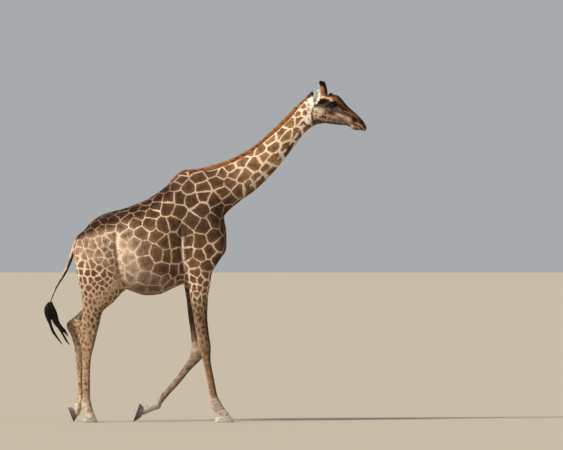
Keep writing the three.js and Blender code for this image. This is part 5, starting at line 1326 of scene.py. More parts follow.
def unit(v):
    return v / (np.linalg.norm(v, axis=-1, keepdims=True) + 1e-9)


def scatter(rng, verts, faces, keep, count):
    """Random points on the quads, with their face and weights for each corner."""
    q = verts[faces]
    area = (np.linalg.norm(np.cross(q[:, 1] - q[:, 0], q[:, 2] - q[:, 0]), axis=1)
            + np.linalg.norm(np.cross(q[:, 2] - q[:, 0], q[:, 3] - q[:, 0]), axis=1)) * keep
    pick = rng.choice(len(faces), count, p=area / area.sum())
    a, b = rng.uniform(0, 1, count), rng.uniform(0, 1, count)
    w = np.stack([(1 - a) * (1 - b), a * (1 - b), a * b, (1 - a) * b], 1)
    return (q[pick] * w[..., None]).sum(1), pick, w


# ---- Blender ------------------------------------------------------------------------------------
def metres(p):
    return (p + np.array([SHIFT_X, 0, 0])) / 1000.0


def make_mesh(name, verts, faces, smooth=True):
    me = bpy.data.meshes.new(name)
    k = faces.shape[1]
    me.vertices.add(len(verts))
    me.vertices.foreach_set("co", metres(verts).astype(np.float32).ravel())
    me.loops.add(len(faces) * k)
    me.loops.foreach_set("vertex_index", faces.astype(np.int32).ravel())
    me.polygons.add(len(faces))
    me.polygons.foreach_set("loop_start", np.arange(0, len(faces) * k, k, dtype=np.int32))
    me.polygons.foreach_set("loop_total", np.full(len(faces), k, np.int32))
    me.update(calc_edges=True)
    me.polygons.foreach_set("use_smooth", np.full(len(faces), smooth))
    ob = bpy.data.objects.new(name, me)
    bpy.context.scene.collection.objects.link(ob)
    return ob


def give(ob, name, values, kind="FLOAT"):
    """A value or colour for each vertex."""
    at = ob.data.attributes.new(name, "FLOAT_COLOR" if kind == "COLOR" else "FLOAT", "POINT")
    if kind == "COLOR":
        rgba = np.ones((len(values), 4), np.float32)
        rgba[:, :3] = np.clip(values, 0, 1)
        at.data.foreach_set("color", rgba.ravel())
    else:
        at.data.foreach_set("value", np.asarray(values, np.float32))


def give_uv(ob, uv):
    """uv has one row for each vertex or for each corner."""
    me = ob.data
    layer = me.uv_layers.new(name="OFBake")
    if len(uv) != len(me.loops):
        idx = np.empty(len(me.loops), np.int32)
        me.loops.foreach_get("vertex_index", idx)
        uv = uv[idx]
    layer.data.foreach_set("uv", uv.astype(np.float32).ravel())


class Nodes:
    """Short hands for a material's nodes."""

    def __init__(self, name):
        self.mat = bpy.data.materials.new(name)
        self.mat.use_nodes = True
        self.t = self.mat.node_tree
        self.t.nodes.clear()
        self.out = self.t.nodes.new("ShaderNodeOutputMaterial")
        self.bsdf = self.t.nodes.new("ShaderNodeBsdfPrincipled")
        self.t.links.new(self.bsdf.outputs["BSDF"], self.out.inputs["Surface"])

    def link(self, a, b):
        self.t.links.new(a, b)

    def attribute(self, name):
        n = self.t.nodes.new("ShaderNodeAttribute")
        n.attribute_name = name
        return n

    def noise(self, scale, detail=2.0, rough=0.5, coord=None):
        if not hasattr(self, "coord"):
            self.coord = self.t.nodes.new("ShaderNodeTexCoord").outputs["Object"]
        n = self.t.nodes.new("ShaderNodeTexNoise")
        n.inputs["Scale"].default_value = scale
        n.inputs["Detail"].default_value = detail
        n.inputs["Roughness"].default_value = rough
        self.link(coord or self.coord, n.inputs["Vector"])
        return n.outputs["Fac"]

    def math(self, op, a, b=None, c=None, clamp=False):
        n = self.t.nodes.new("ShaderNodeMath")
        n.operation = op
        n.use_clamp = clamp
        for i, v in enumerate((a, b, c)):
            if v is None:
                continue
            if isinstance(v, (int, float)):
                n.inputs[i].default_value = v
            else:
                self.link(v, n.inputs[i])
        return n.outputs[0]

    def mix(self, fac, a, b, kind="MIX"):
        n = self.t.nodes.new("ShaderNodeMix")
        n.data_type = "RGBA"
        n.blend_type = kind
        for socket, v in ((n.inputs[0], fac), (n.inputs[6], a), (n.inputs[7], b)):
            if isinstance(v, (int, float)):
                socket.default_value = v if socket.type == "VALUE" else (v, v, v, 1.0)
            elif isinstance(v, tuple):
                socket.default_value = (*v, 1.0)
            else:
                self.link(v, socket)
        return n.outputs[2]

    def bump(self, height, strength, distance):
        n = self.t.nodes.new("ShaderNodeBump")
        n.inputs["Strength"].default_value = strength
        n.inputs["Distance"].default_value = distance
        self.link(height, n.inputs["Height"])
        self.link(n.outputs["Normal"], self.bsdf.inputs["Normal"])


def coat_material(name):
    m = Nodes(name)
    tone, line = m.attribute("tone").outputs["Color"], m.attribute("line").outputs["Color"]
    inside, soft = m.attribute("inside").outputs["Fac"], m.attribute("soft").outputs["Fac"]
    bare = m.attribute("bare").outputs["Fac"]
    ragged = m.math("SUBTRACT", m.noise(95, 3.0, 0.6), 0.5)
    place = m.math("MULTIPLY_ADD", ragged, 11.0, inside)
    t = m.math("MULTIPLY_ADD", m.math("DIVIDE", place, soft), 0.5, 0.5, clamp=True)
    colour = m.mix(t, line, tone)
    fine, hairs = m.noise(420, 2.0, 0.6), m.noise(130, 3.0, 0.6)
    light = m.math("MULTIPLY_ADD", fine, 0.34, 0.83)
    light = m.math("MULTIPLY", light, m.math("MULTIPLY_ADD", hairs, 0.36, 0.82))
    dull = m.math("SUBTRACT", 1.0, m.math("MULTIPLY", bare, 0.6))
    colour = m.mix(1.0, colour, m.mix(bare, light, 1.0), "MULTIPLY")
    m.link(colour, m.bsdf.inputs["Base Color"])
    m.link(m.math("MULTIPLY", dull, 0.82), m.bsdf.inputs["Roughness"])
    m.bsdf.inputs["Specular IOR Level"].default_value = 0.13
    m.bsdf.inputs["Sheen Weight"].default_value = 0.01
    m.bsdf.inputs["Sheen Roughness"].default_value = 0.45
    m.bump(m.math("ADD", m.noise(300, 3.0, 0.65), m.math("MULTIPLY", hairs, 0.7)), 0.35, 0.0022)
    return m.mat


def hair_material(name, rough=0.62, sheen=0.02):
    m = Nodes(name)
    tone = m.attribute("tone").outputs["Color"]
    light = m.math("MULTIPLY_ADD", m.noise(160, 2.0, 0.6), 0.5, 0.75)
    m.link(m.mix(1.0, tone, light, "MULTIPLY"), m.bsdf.inputs["Base Color"])
    m.bsdf.inputs["Roughness"].default_value = rough
    m.bsdf.inputs["Specular IOR Level"].default_value = 0.14
    m.bsdf.inputs["Sheen Weight"].default_value = sheen
    return m.mat


# ---- The skin -----------------------------------------------------------------------------------
flesh = Head()
field = flesh.distance
grid = Grid()
verts, faces = net(sample(field, grid), grid)
verts = settle(field, verts, faces, rounds=2)
normals = unit(gradient(field, verts))


rng = np.random.default_rng(2)
some = rng.choice(len(verts), 26000, replace=False)
cells = Cells(place_seeds(field, verts[some], normals[some]))
cells.tail = flesh.length["tail"]
unwrap = Unwrap(flesh)
tone, line, inside, soft, bare = markings(verts, normals, cells)
part = unwrap.part(verts)

skin = make_mesh("skin", verts, faces)
give(skin, "tone", tone, "COLOR")
give(skin, "line", line, "COLOR")
give(skin, "inside", inside)
give(skin, "soft", soft)
give(skin, "bare", bare)
middle = verts[faces].mean(1)
face_part = unwrap.part(middle)
turn = unwrap.angle(middle, face_part)
corner = faces.ravel()
give_uv(skin, unwrap.uv(verts[corner], np.repeat(face_part, 4), np.repeat(turn, 4)))
coat = coat_material("coat")
skin.data.materials.append(coat)
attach(skin, "root")
FLESH_NODES = ["trunk", "neck", "head", "tail", "leg_fore_right", "leg_fore_left", "leg_hind_right", "leg_hind_left",
               "ear_left", "ear_right", "ossicone_left", "ossicone_right"]
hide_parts(*FLESH_NODES)


# ---- Eyes ---------------------------------------------------------------------------------------
def eye(side, name):
    cx, cy, cz, r = EYE[0], side * EYE[1], EYE[2], EYE[3]
    rows, cols = 40, 64
    v = []
    for i in range(rows + 1):
        a = math.pi * i / rows
        for j in range(cols):
            b = 2 * math.pi * j / cols
            d = np.array([math.sin(a) * math.cos(b), side * math.cos(a), math.sin(a) * math.sin(b)])
            grow = 1 + 0.035 * math.exp(-(a / 0.62) ** 4)
            v.append(np.array([cx, cy, cz]) + d * r * grow)
    v = np.array(v)
    f = []
    for i in range(rows):
        for j in range(cols):
            k = (j + 1) % cols
            q = [i * cols + j, i * cols + k, (i + 1) * cols + k, (i + 1) * cols + j]
            f.append(q[::-1] if side > 0 else q)
    ob = make_mesh("eyeball_" + name, v, np.array(f))
    q = v - np.array([cx, cy, cz])
    u, w = q[:, 0] / r, q[:, 2] / r
    front = q[:, 1] * side > 0
    iris = np.hypot(u, w)
    c = np.tile(np.array((0.016, 0.010, 0.008)), (len(v), 1))
    c = mix(c, (0.022, 0.011, 0.006), step(0.66, 0.54, iris) * front)
    c = mix(c, (0.004, 0.003, 0.004), step(1.15, 0.85, np.hypot(u / 0.46, w / 0.24)) * front)
    give(ob, "tone", c, "COLOR")
    m = Nodes("eye_" + name)
    m.link(m.attribute("tone").outputs["Color"], m.bsdf.inputs["Base Color"])
    m.bsdf.inputs["Roughness"].default_value = 0.08
    m.bsdf.inputs["Specular IOR Level"].default_value = 0.26
    m.bsdf.inputs["Coat Weight"].default_value = 0.04
    m.bsdf.inputs["Coat Roughness"].default_value = 0.03
    ob.data.materials.append(m.mat)
    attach(ob, "root")
    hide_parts("eye_" + name)


eye(-1, "right")
eye(1, "left")

# ---- Hooves -------------------------------------------------------------------------------------
CLAW = {"fore": (218, 69, 82, 50, 20, 170, 5), "fore_bent": (218, 69, 68, 50, 24, 142, 5),
        "hind": (172, 59, 76, 44, 16, 136, 4), "hind_bent": (172, 59, 70, 44, 16, 126, 4)}
FOOT = {"fore_right": (107, 0, 0, -101, "fore"), "hind_right": (-1340, 0, 0, -145, "hind"),
        "fore_left": (-718, 201, -110, 187, "fore_bent"), "hind_left": (-1510, 157, -69, 191, "hind_bent")}


HORN_TONE = {"fore_right": ((0.30, 0.245, 0.185), (0.44, 0.38, 0.30), (0.52, 0.44, 0.35)), "hind_right": ((0.26, 0.21, 0.16), (0.40, 0.34, 0.27), (0.46, 0.38, 0.30)),
             "fore_left": ((0.045, 0.030, 0.024), (0.085, 0.072, 0.066), (0.21, 0.18, 0.155)), "hind_left": ((0.070, 0.054, 0.044), (0.125, 0.105, 0.09), (0.24, 0.19, 0.15))}


def power(v, n):
    return math.copysign(abs(v) ** (2.0 / n), v)


def hoof(foot, which, name):
    fx, fz, tilt, fy, kind = FOOT[foot]
    length, width, toe, heel, c0, c1, split = CLAW[kind]
    cols, levels = 72, 22
    c, s = math.cos(math.radians(tilt)), math.sin(math.radians(tilt))
    rng = np.random.default_rng(len(name) + which)
    rows = [(0.0, 0.0), (0.0, 0.55), (0.0, 0.9)] + [(i / levels, 1.0) for i in range(levels + 1)] + [(1.0, 0.9), (1.0, 0.5), (1.0, 0.0)]
    v, ring = [], []
    for t, k in rows:
        for j in range(cols):
            a = 2 * math.pi * j / cols
            along = 0.5 + 0.5 * k * power(math.cos(a), 2.6)
            sole = length - (2.0 if t < 0.03 else 0.0)
            x = (sole * along) * (1 - t) + (c0 + (c1 - c0) * along) * t
            wide = (width * (1 - t) + width * 0.9 * t) * (1 - 0.5 * along ** 3)
            y = wide / 2 * (1 + k * power(math.sin(a), 2.8)) + split
            z = t * (heel + (toe - heel) * along)
            # growth rings in the wall and a worn lower edge
            groove = 0.30 * math.sin(t * 34 + 1.3 * math.sin(3 * a)) * math.sin(math.pi * min(t * 1.05, 1)) * k
            bent = 15.0 * max(math.cos(a), 0) if foot.endswith("left") else 0.0
            start = 0.80 - 0.018 * bent
            over = max(t - start, 0) / (1 - start)
            groove += (7.0 + bent) * (1 - math.sqrt(max(1 - over * over, 0))) * k
            x -= groove * math.cos(a) + 0.9 * k * math.cos(a)
            y -= (groove * 0.6 + 0.7 * k) * math.sin(a)
            z = z - 1.2 * t if t > 0.99 else z
            v.append((fx + x * c - z * s, fy + which * y, fz + x * s + z * c))
            ring.append(t)
    v = np.array(v)
    v[:, 2] = np.maximum(v[:, 2], 0.3)
    f = []
    for i in range(len(rows) - 1):
        for j in range(cols):
            k = (j + 1) % cols
            q = [i * cols + j, i * cols + k, (i + 1) * cols + k, (i + 1) * cols + j]
            f.append(q if which > 0 else q[::-1])
    ob = make_mesh("horn_" + name, v, np.array(f))
    t = np.array(ring)
    low_tone, mid_tone, top_tone = HORN_TONE[foot]
    base = np.tile(np.array(mid_tone), (len(v), 1))
    base = mix(base, top_tone, step(0.62, 1.0, t) * 0.8)
    base = mix(base, low_tone, step(0.40, 0.0, t) * 0.85)
    base = base * (1 + 0.05 * np.sin(t * 34 + 2 * grain(v, 60, 32))[:, None] + 0.18 * grain(v, 30, 31)[:, None])
    give(ob, "tone", base, "COLOR")
    m = Nodes("horn_" + name)
    light = m.math("MULTIPLY_ADD", m.noise(90, 4.0, 0.6), 0.7, 0.65)
    m.link(m.mix(1.0, m.attribute("tone").outputs["Color"], light, "MULTIPLY"), m.bsdf.inputs["Base Color"])
    m.bsdf.inputs["Roughness"].default_value = 0.58
    m.bump(m.noise(240, 3.0, 0.6), 0.25, 0.0015)
    ob.data.materials.append(m.mat)
    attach(ob, "root")
    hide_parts("hoof_" + name)


for foot in FOOT:
    left = foot.endswith("left")
    for i, which in enumerate((1, -1)):
        hoof(foot, which, foot + ("_outer" if i == (0 if left else 1) else "_inner"))

# ---- Coat ---------------------------------------------------------------------------------------
ROOTS = np.array([(-0.0013, -0.0012), (0.0, 0.0015), (0.0013, -0.0012)])


def lock_uv(root_uv, rings):
    """A small patch for each lock, its rings shrinking towards the tip."""
    shrink = 1 - np.arange(rings) / rings
    pts = np.concatenate([(ROOTS[None] * shrink[:, None, None]).reshape(-1, 2), [(0.0, 0.0)]])
    return np.clip((root_uv[:, None] + pts[None]).reshape(-1, 2), 0.0002, 0.9998)


LIMIT = np.array([[-1765.0, -372.0, 1.0], [1780.0, 372.0, 3755.0]])


def hair_piece(name, parts, material, smooth=True):
    """Joins (locks, colours for each point, uv for each point) to one object."""
    v, f, c, uv, at = [], [], [], [], 0
    for locks, colour, coords in parts:
        a, b, _, _ = locks.arrays()
        v.append(a)
        f.append(b + at)
        c.append(colour)
        uv.append(coords)
        at += len(a)
    ob = make_mesh(name, np.clip(np.concatenate(v), *LIMIT), np.concatenate(f), smooth)
    give(ob, "tone", np.concatenate(c), "COLOR")
    give_uv(ob, np.concatenate(uv))
    ob.data.materials.append(material)
    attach(ob, "root")
    return ob


def spikes(root, along, up, long, wide, thick, lift, sink=1.2):
    """Short two-point tufts: root, side, up and tip."""
    side = unit(np.cross(along, up))
    path = np.stack([root - up * sink, root + along * long[:, None] + up * lift[:, None]], 1)
    l = Locks()
    l.add(path, np.stack([side, side], 1), np.stack([up, up], 1), np.stack([wide, wide * 0], 1), np.stack([thick + sink, thick * 0], 1))
    return l


corner_uv = unwrap.uv(verts[corner], np.repeat(face_part, 4), np.repeat(turn, 4)).reshape(-1, 4, 2)
rng = np.random.default_rng(41)
region = np.array([{"t": 0, "n": 1, "h": 2}.get(n[0], 3) for n in unwrap.names] + [2] * 4)
region[[i for i, n in enumerate(unwrap.names) if n == "tail"]] = 3
region[[i for i, n in enumerate(unwrap.names) if n.startswith(("fore", "hind"))]] = 3
face_region = region[face_part]
mx, my, mz = middle.T
on_leg = (face_region == 3) & (mz < 1450)
face_bare = bare[faces].mean(1)
keep = np.where(face_region == 2, 5.0, np.where(on_leg, 2.4, 1.0))
keep = keep * (face_bare < 0.25) * (mz > 70)
near_eye = np.zeros(len(middle), bool)
for side in (-1, 1):
    q = np.linalg.norm(middle - np.array([EYE[0], side * EYE[1], EYE[2]]), axis=1)
    near_eye |= q < 44
keep = keep * ~near_eye
COUNT = 150000
root, pick, w = scatter(rng, verts, faces, keep, COUNT)
at = lambda values: (values[faces[pick]] * (w if values.ndim == 1 else w[..., None])).sum(1)
up = unit(at(normals))
along = lie_of(flesh, unwrap, face_part[pick], root, up)
sway = rng.normal(0, 0.16, len(root)) + 0.35 * grain(root, 120, 51)
side_way = np.cross(up, along)
along = unit(along * np.cos(sway)[:, None] + side_way * np.sin(sway)[:, None])
t = np.clip(0.5 + 0.5 * (at(inside) + rng.normal(0, 1.6, len(root))) / at(soft), 0, 1)
colour = mix(at(line), at(tone), t)
colour = mix(at(line), at(tone), t)
colour = colour * rng.uniform(0.76, 1.20, len(root))[:, None]
small = np.where(face_region[pick] == 2, 0.46, np.where(on_leg[pick], 0.70, 1.0))
small = small * np.where((face_region[pick] == 2) & (root[:, 0] > 1560), 0.75, 1.0)
long = 15.0 * small * rng.uniform(0.7, 1.3, len(root))
wide = 5.4 * small * rng.uniform(0.8, 1.2, len(root))
lift = 1.5 * small * rng.uniform(0.5, 1.5, len(root))
uv = (corner_uv[pick] * w[..., None]).sum(1)
order = np.argsort(face_part[pick] * 4000.0 + root[:, 0], kind="stable")
fur = hair_material("fur", 0.7)
for i, some in enumerate(np.array_split(order, 4)):
    l = spikes(root[some] - along[some] * (long[some] * 0.42)[:, None], along[some], up[some], long[some], wide[some], wide[some] * 0.13, lift[some])
    hair_piece("fur_%d" % (i + 1), [(l, np.repeat(colour[some], 4, 0), lock_uv(uv[some], 1))], fur, smooth=False)

# ---- Mane ---------------------------------------------------------------------------------------
MANE_TOP = [(-310, 404), (-218, 424), (-100, 420), (46, 312), (254, 217), (363, 176), (606, 124), (820, 120), (1046, 134),
            (1205, 152), (1380, 167), (1530, 164)]
MANE_ROOT = [(-69, 345), (22, 283), (114, 221), (219, 175), (332, 138), (444, 101), (574, 85), (712, 78), (856, 79), (1000, 80),
             (1155, 90), (1328, 110), (1432, 112), (1483, 108)]


def neck_place(s, h, y):
    c, sn = math.cos(math.radians(40)), math.sin(math.radians(40))
    return np.stack([112 + s * c - h * sn, y, 2530 + s * sn + h * c], -1)


def mane_locks(count, seed, first, last, reach, wide, deep=22, black=0.0):
    rng = np.random.default_rng(seed)
    s0 = rng.uniform(first, last, count)
    top, low = np.array(MANE_TOP, float), np.array(MANE_ROOT, float)
    place = np.arange(-340.0, -20.0, 8.0)
    rise_h = np.arange(480.0, 200.0, -2.0)
    q = neck_place(np.repeat(place, len(rise_h)), np.tile(rise_h, len(place)), np.zeros(len(place) * len(rise_h)))
    ground = rise_h[(field(q).reshape(len(place), -1) < 0).argmax(1)] - 1
    inner = np.where(s0 < -28, np.interp(s0, place, ground), np.interp(s0, low[:, 0], low[:, 1]))
    lean = -0.52 + 0.12 * np.sin(s0 / 37.0) + rng.normal(0, 0.10, count)
    y0 = rng.normal(0, 8.5, count).clip(-17, 17)
    rough = 0.5 + 0.5 * np.sin(s0 / 13.0 + 2.1 * np.sin(s0 / 31.0)) * np.sin(s0 / 57.0 + 1)
    lean = lean * (1 - 0.75 * step(1380, 1500, s0)) + black * rng.uniform(-0.05, 0.60, count)
    rise0 = np.maximum(np.interp(s0, top[:, 0], top[:, 1]) - inner, 4) + deep
    goal = np.interp(s0 + lean * rise0, top[:, 0], top[:, 1]) - 2 - 18 * (1 - rough) * rng.uniform(0.3, 1, count)
    goal = np.where(s0 < -60, np.maximum(goal, inner + 22 * step(-340, -240, s0)), goal)
    goal = inner + (goal - inner) * reach(rng, count) + (black > 0) * rng.uniform(-14, 17, count)
    k = 5
    u = np.linspace(0, 1, k)
    h = (inner - deep)[:, None] + (goal - inner + deep)[:, None] * u
    rise = (goal - inner + deep)[:, None]
    s = s0[:, None] + lean[:, None] * rise * u ** 1.5
    cap = np.interp(s, top[:, 0], top[:, 1]) - 2 + 17 * (black > 0)
    h = np.where(s0[:, None] < -28, h, np.minimum(h, cap))
    y = y0[:, None] * (0.7 + 0.75 * u) + rng.normal(0, 1.6, count)[:, None] * u
    path = neck_place(s, h, y)
    d = unit(np.gradient(path, axis=1))
    face = unit(np.stack([np.zeros(count), rng.normal(0, 1, count), np.zeros(count)], 1) + rng.normal(0, 0.5, (count, 3)))
    side = unit(np.cross(d, face[:, None]))
    up = unit(np.cross(side, d))
    width = wide * rng.uniform(0.7, 1.3, count)[:, None] * np.array([1.0, 1.0, 0.9, 0.6, 0])
    l = Locks()
    l.add(path, side, up, width, width * 0.5)
    mid = (np.sin(s0 / 23.0 + 1.7 * np.sin(s0 / 71.0)) * 0.5 + 0.5) * 0.6 + rng.uniform(0, 0.4, count)
    base = mix(np.tile(np.array((0.47, 0.140, 0.038)), (count, 1)), (0.80, 0.39, 0.135), mid * 0.62)
    base = mix(base, (0.085, 0.030, 0.014), (rng.uniform(0, 1, count) < 0.26) * 0.85)
    base = mix(base, (0.26, 0.14, 0.072), step(420, -150, s0) * 0.5)
    end = step(1395, 1450, s0) * (rng.uniform(0, 1, count) < np.maximum(0.62, black))
    tip = mix(base * 0.55, (0.030, 0.016, 0.010), 0.45)
    c = np.stack([base * 0.25, base * 0.42, base * 1.05, mix(base, tip, 0.22), mix(base, tip, 0.8)], 1)
    c = c * (1 - 0.9 * end[:, None, None] * np.array([0, 0.4, 0.8, 1, 1])[None, :, None])
    c = np.concatenate([np.repeat(c[:, :k - 1], 3, 1), c[:, -1:]], 1).reshape(-1, 3)
    root = neck_place(s0, inner, y0)
    part = np.full(count, unwrap.names.index("neck"))
    return l, c, lock_uv(unwrap.uv(root, part), k - 1)


full = lambda rng, n: rng.uniform(0.86, 1.0, n)
short = lambda rng, n: rng.uniform(0.35, 0.9, n)
mane = hair_piece("mane_locks", [mane_locks(5600, 61, -300, 1508, full, 8.0), mane_locks(2960, 62, -330, 1508, short, 8.0),
                                 mane_locks(420, 63, 1440, 1514, full, 4.5, black=0.85)],
                  hair_material("mane_hair", 0.6))
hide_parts("mane")

# ---- Tail ---------------------------------------------------------------------------------------
TUFTS = {
    "rear": (-74, 430, [(-6, 11, -32, 0, 20), (40, 3, -92, -2, 38), (80, -5, -108, -3, 44), (160, -41, -103, -5, 36),
                        (220, -58, -89, -6, 26), (300, -54, -85, -7, 19), (350, -42, -72, -8, 16), (400, -28, -49, -8, 12),
                        (450, -12, -28, -9, 9), (492, 0, -9, -9, 5)]),
    "front": (-60, 460, [(-6, 13, -34, 0, 20), (40, 11, -67, 2, 38), (80, 8, -85, 3, 44), (120, 6, -89, 4, 42),
                         (160, -4, -92, 5, 36), (220, -27, -95, 6, 30), (280, -27, -84, 7, 25), (330, -14, -60, 8, 19),
                         (380, -14, -40, 8, 12), (432, -22, -30, 9, 5)]),
    "low": (-60, 220, [(-6, 13, -34, 0, 20), (60, 0, -84, 4, 34), (150, -30, -90, 4, 26), (230, -42, -87, 2, 18),
                       (320, -48, -76, 0, 15), (400, -52, -75, -2, 12), (470, -52, -76, -3, 9), (528, -46, -58, -4, 5)]),
}


def tuft_locks(name, seed):
    tilt, count, rows = TUFTS[name]
    rng = np.random.default_rng(seed)
    r = np.array(rows, float)
    k = 11
    start = r[0, 0] + rng.uniform(0, 1, count) ** 1.6 * 90
    end = r[0, 0] + (r[-1, 0] - r[0, 0]) * (1 - 0.50 * rng.uniform(0, 1, count) ** 1.7)
    u = np.linspace(0, 1, k)
    s = start[:, None] + (end - start)[:, None] * u
    a, rad = rng.uniform(0, 2 * math.pi, count), np.sqrt(rng.uniform(0, 1, count))
    hi, lo, y0, w = (np.interp(s, r[:, 0], r[:, i]) for i in (1, 2, 3, 4))
    turn = a[:, None] + 0.5 * u * rng.normal(0, 1, count)[:, None]
    h = (hi + lo) / 2 + (hi - lo) / 2 * (rad[:, None] * 0.93) * np.cos(turn)
    y = y0 + w * (rad[:, None] * 0.93) * np.sin(turn)
    c, sn = math.cos(math.radians(tilt)), math.sin(math.radians(tilt))
    path = np.stack([-1692 + s * c - h * sn, y, 1320 + s * sn + h * c], -1)
    path += np.sin(u * 9 + a[:, None])[..., None] * rng.normal(0, 1.1, (count, 1, 3)) * u[None, :, None]
    d = unit(np.gradient(path, axis=1))
    face = unit(rng.normal(0, 1, (count, 3)))
    side = unit(np.cross(d, face[:, None]))
    up = unit(np.cross(side, d))
    width = rng.uniform(2.6, 5.2, count)[:, None] * np.interp(u, [0, 0.15, 0.6, 1], [0.8, 1.0, 0.8, 0])
    l = Locks()
    l.add(path, side, up, width, width * 0.55)
    base = np.tile(np.array((0.012, 0.009, 0.008)), (count, 1)) * rng.uniform(0.6, 1.9, count)[:, None]
    base = mix(base, (0.075, 0.045, 0.028), (rng.uniform(0, 1, count) < 0.07) * 0.7)
    col = np.repeat(base, 3 * (k - 1) + 1, 0)
    t = flesh.length["tail"]
    rs, ra = rng.uniform(560, 684, count), rng.uniform(-3, 3, count)
    hh = (t.at(0, rs) + t.at(1, rs)) / 2
    root = np.stack([t.x + rs * t.c - (hh + 8 * np.cos(ra)) * t.s, 8 * np.sin(ra), t.z + rs * t.s + (hh + 8 * np.cos(ra)) * t.c], 1)
    return l, col, lock_uv(unwrap.uv(root, np.full(count, unwrap.names.index("tail"))), k - 1)


def tail_fringe(count, seed):
    """Longer dark hair along the tail's front edge."""
    rng = np.random.default_rng(seed)
    t = flesh.length["tail"]
    k = 5
    s0 = rng.uniform(70, 660, count)
    long = np.interp(s0, [70, 200, 680], [60, 90, 70]) * rng.uniform(0.7, 1.2, count)
    u = np.linspace(0, 1, k)
    s = s0[:, None] + long[:, None] * u
    hi, lo, w = t.at(0, s.ravel()).reshape(s.shape), t.at(1, s.ravel()).reshape(s.shape), t.at(3, s.ravel()).reshape(s.shape)
    a = rng.normal(0, 0.62, count)[:, None] + u * 0
    m = (hi + lo) / 2
    h = m + ((hi - lo) / 2 - 1.2 + 0.6 * u) * np.cos(a)
    y = (w - 1.2 + 0.4 * u) * np.sin(a)
    over = s > 684
    h = np.where(over, m + (hi - lo) / 2 * 0.7 * np.cos(a), h)
    path = np.stack([t.x + s * t.c - h * t.s, y, t.z + s * t.s + h * t.c], -1)
    d = unit(np.gradient(path, axis=1))
    out = unit(np.stack([-t.s * np.cos(a[:, 0]), np.sin(a[:, 0]), t.c * np.cos(a[:, 0])], 1))
    side = unit(np.cross(d, out[:, None]))
    up = unit(np.cross(side, d))
    width = rng.uniform(2.4, 4.2, count)[:, None] * np.interp(u, [0, 0.3, 1], [0.9, 1.0, 0])
    l = Locks()
    l.add(path, side, up, width, width * 0.5)
    base = np.tile(np.array((0.016, 0.011, 0.009)), (count, 1)) * rng.uniform(0.6, 1.7, count)[:, None]
    return l, np.repeat(base, 3 * (k - 1) + 1, 0), lock_uv(unwrap.uv(path[:, 0], np.full(count, unwrap.names.index("tail"))), k - 1)


tail = hair_piece("tail_locks", [tuft_locks("rear", 71), tuft_locks("front", 72), tuft_locks("low", 73), tail_fringe(900, 74)],
                  hair_material("tail_hair", 0.42))
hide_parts("tail_tuft")


# ---- Hair of the head ---------------------------------------------------------------------------
def strands(root, first, last, long, wide, bend, colour, part, seed, k=5):
    """Curved hairs that leave along `first` and end along `last`."""
    n = len(root)
    rng = np.random.default_rng(seed)
    u = np.linspace(0, 1, k)
    dirs = unit(first[:, None] * (1 - u[None, :, None] ** bend) + last[:, None] * u[None, :, None] ** bend)
    path = root[:, None] + np.concatenate([np.zeros((n, 1, 3)), np.cumsum(dirs[:, :-1] * (long / (k - 1))[:, None, None], 1)], 1)
    d = unit(np.gradient(path, axis=1))
    face = unit(rng.normal(0, 1, (n, 3)))
    side = unit(np.cross(d, face[:, None]))
    up = unit(np.cross(side, d))
    width = wide[:, None] * np.interp(u, [0, 0.5, 1], [1.0, 0.8, 0])
    l = Locks()
    l.add(path, side, up, width, width * 0.5)
    return l, np.repeat(colour, 3 * (k - 1) + 1, 0), lock_uv(unwrap.uv(root, part), k - 1)


def lash_set(side):
    rng = np.random.default_rng(80 + side)
    out = []
    for n, lo, hi, upper, long in ((46, -0.92, 0.92, 1, 21.0), (26, -0.75, 0.8, -1, 9.0)):
        a = rng.uniform(lo, hi, n)
        b = np.where(upper > 0, 0.50, 0.40) * np.clip(1 - (a / 1.0) ** 2, 0, 1) ** 0.7 * upper
        tilt = math.radians(-10)
        ca, cb = a * math.cos(tilt) - b * math.sin(tilt), a * math.sin(tilt) + b * math.cos(tilt)
        d = unit(np.stack([np.tan(ca * 0.95), np.full(n, side * 1.0), np.tan(cb)], 1))
        root = np.array([EYE[0], side * EYE[1], EYE[2]]) + d * (EYE[3] + 4.5)
        first = unit(d + np.array([0, 0, 0.25 * upper]))
        last = unit(d * 0.7 + np.array([0, 0, 0.12 * upper]) + np.stack([a * 0.5, a * 0, a * 0], 1))
        out.append(strands(root, first, last, np.full(n, long) * rng.uniform(0.75, 1.1, n), np.full(n, 1.7), 1.0,
                           np.tile(np.array((0.010, 0.008, 0.007)), (n, 1)), np.full(n, unwrap.names.index("head")), 81))
    return out


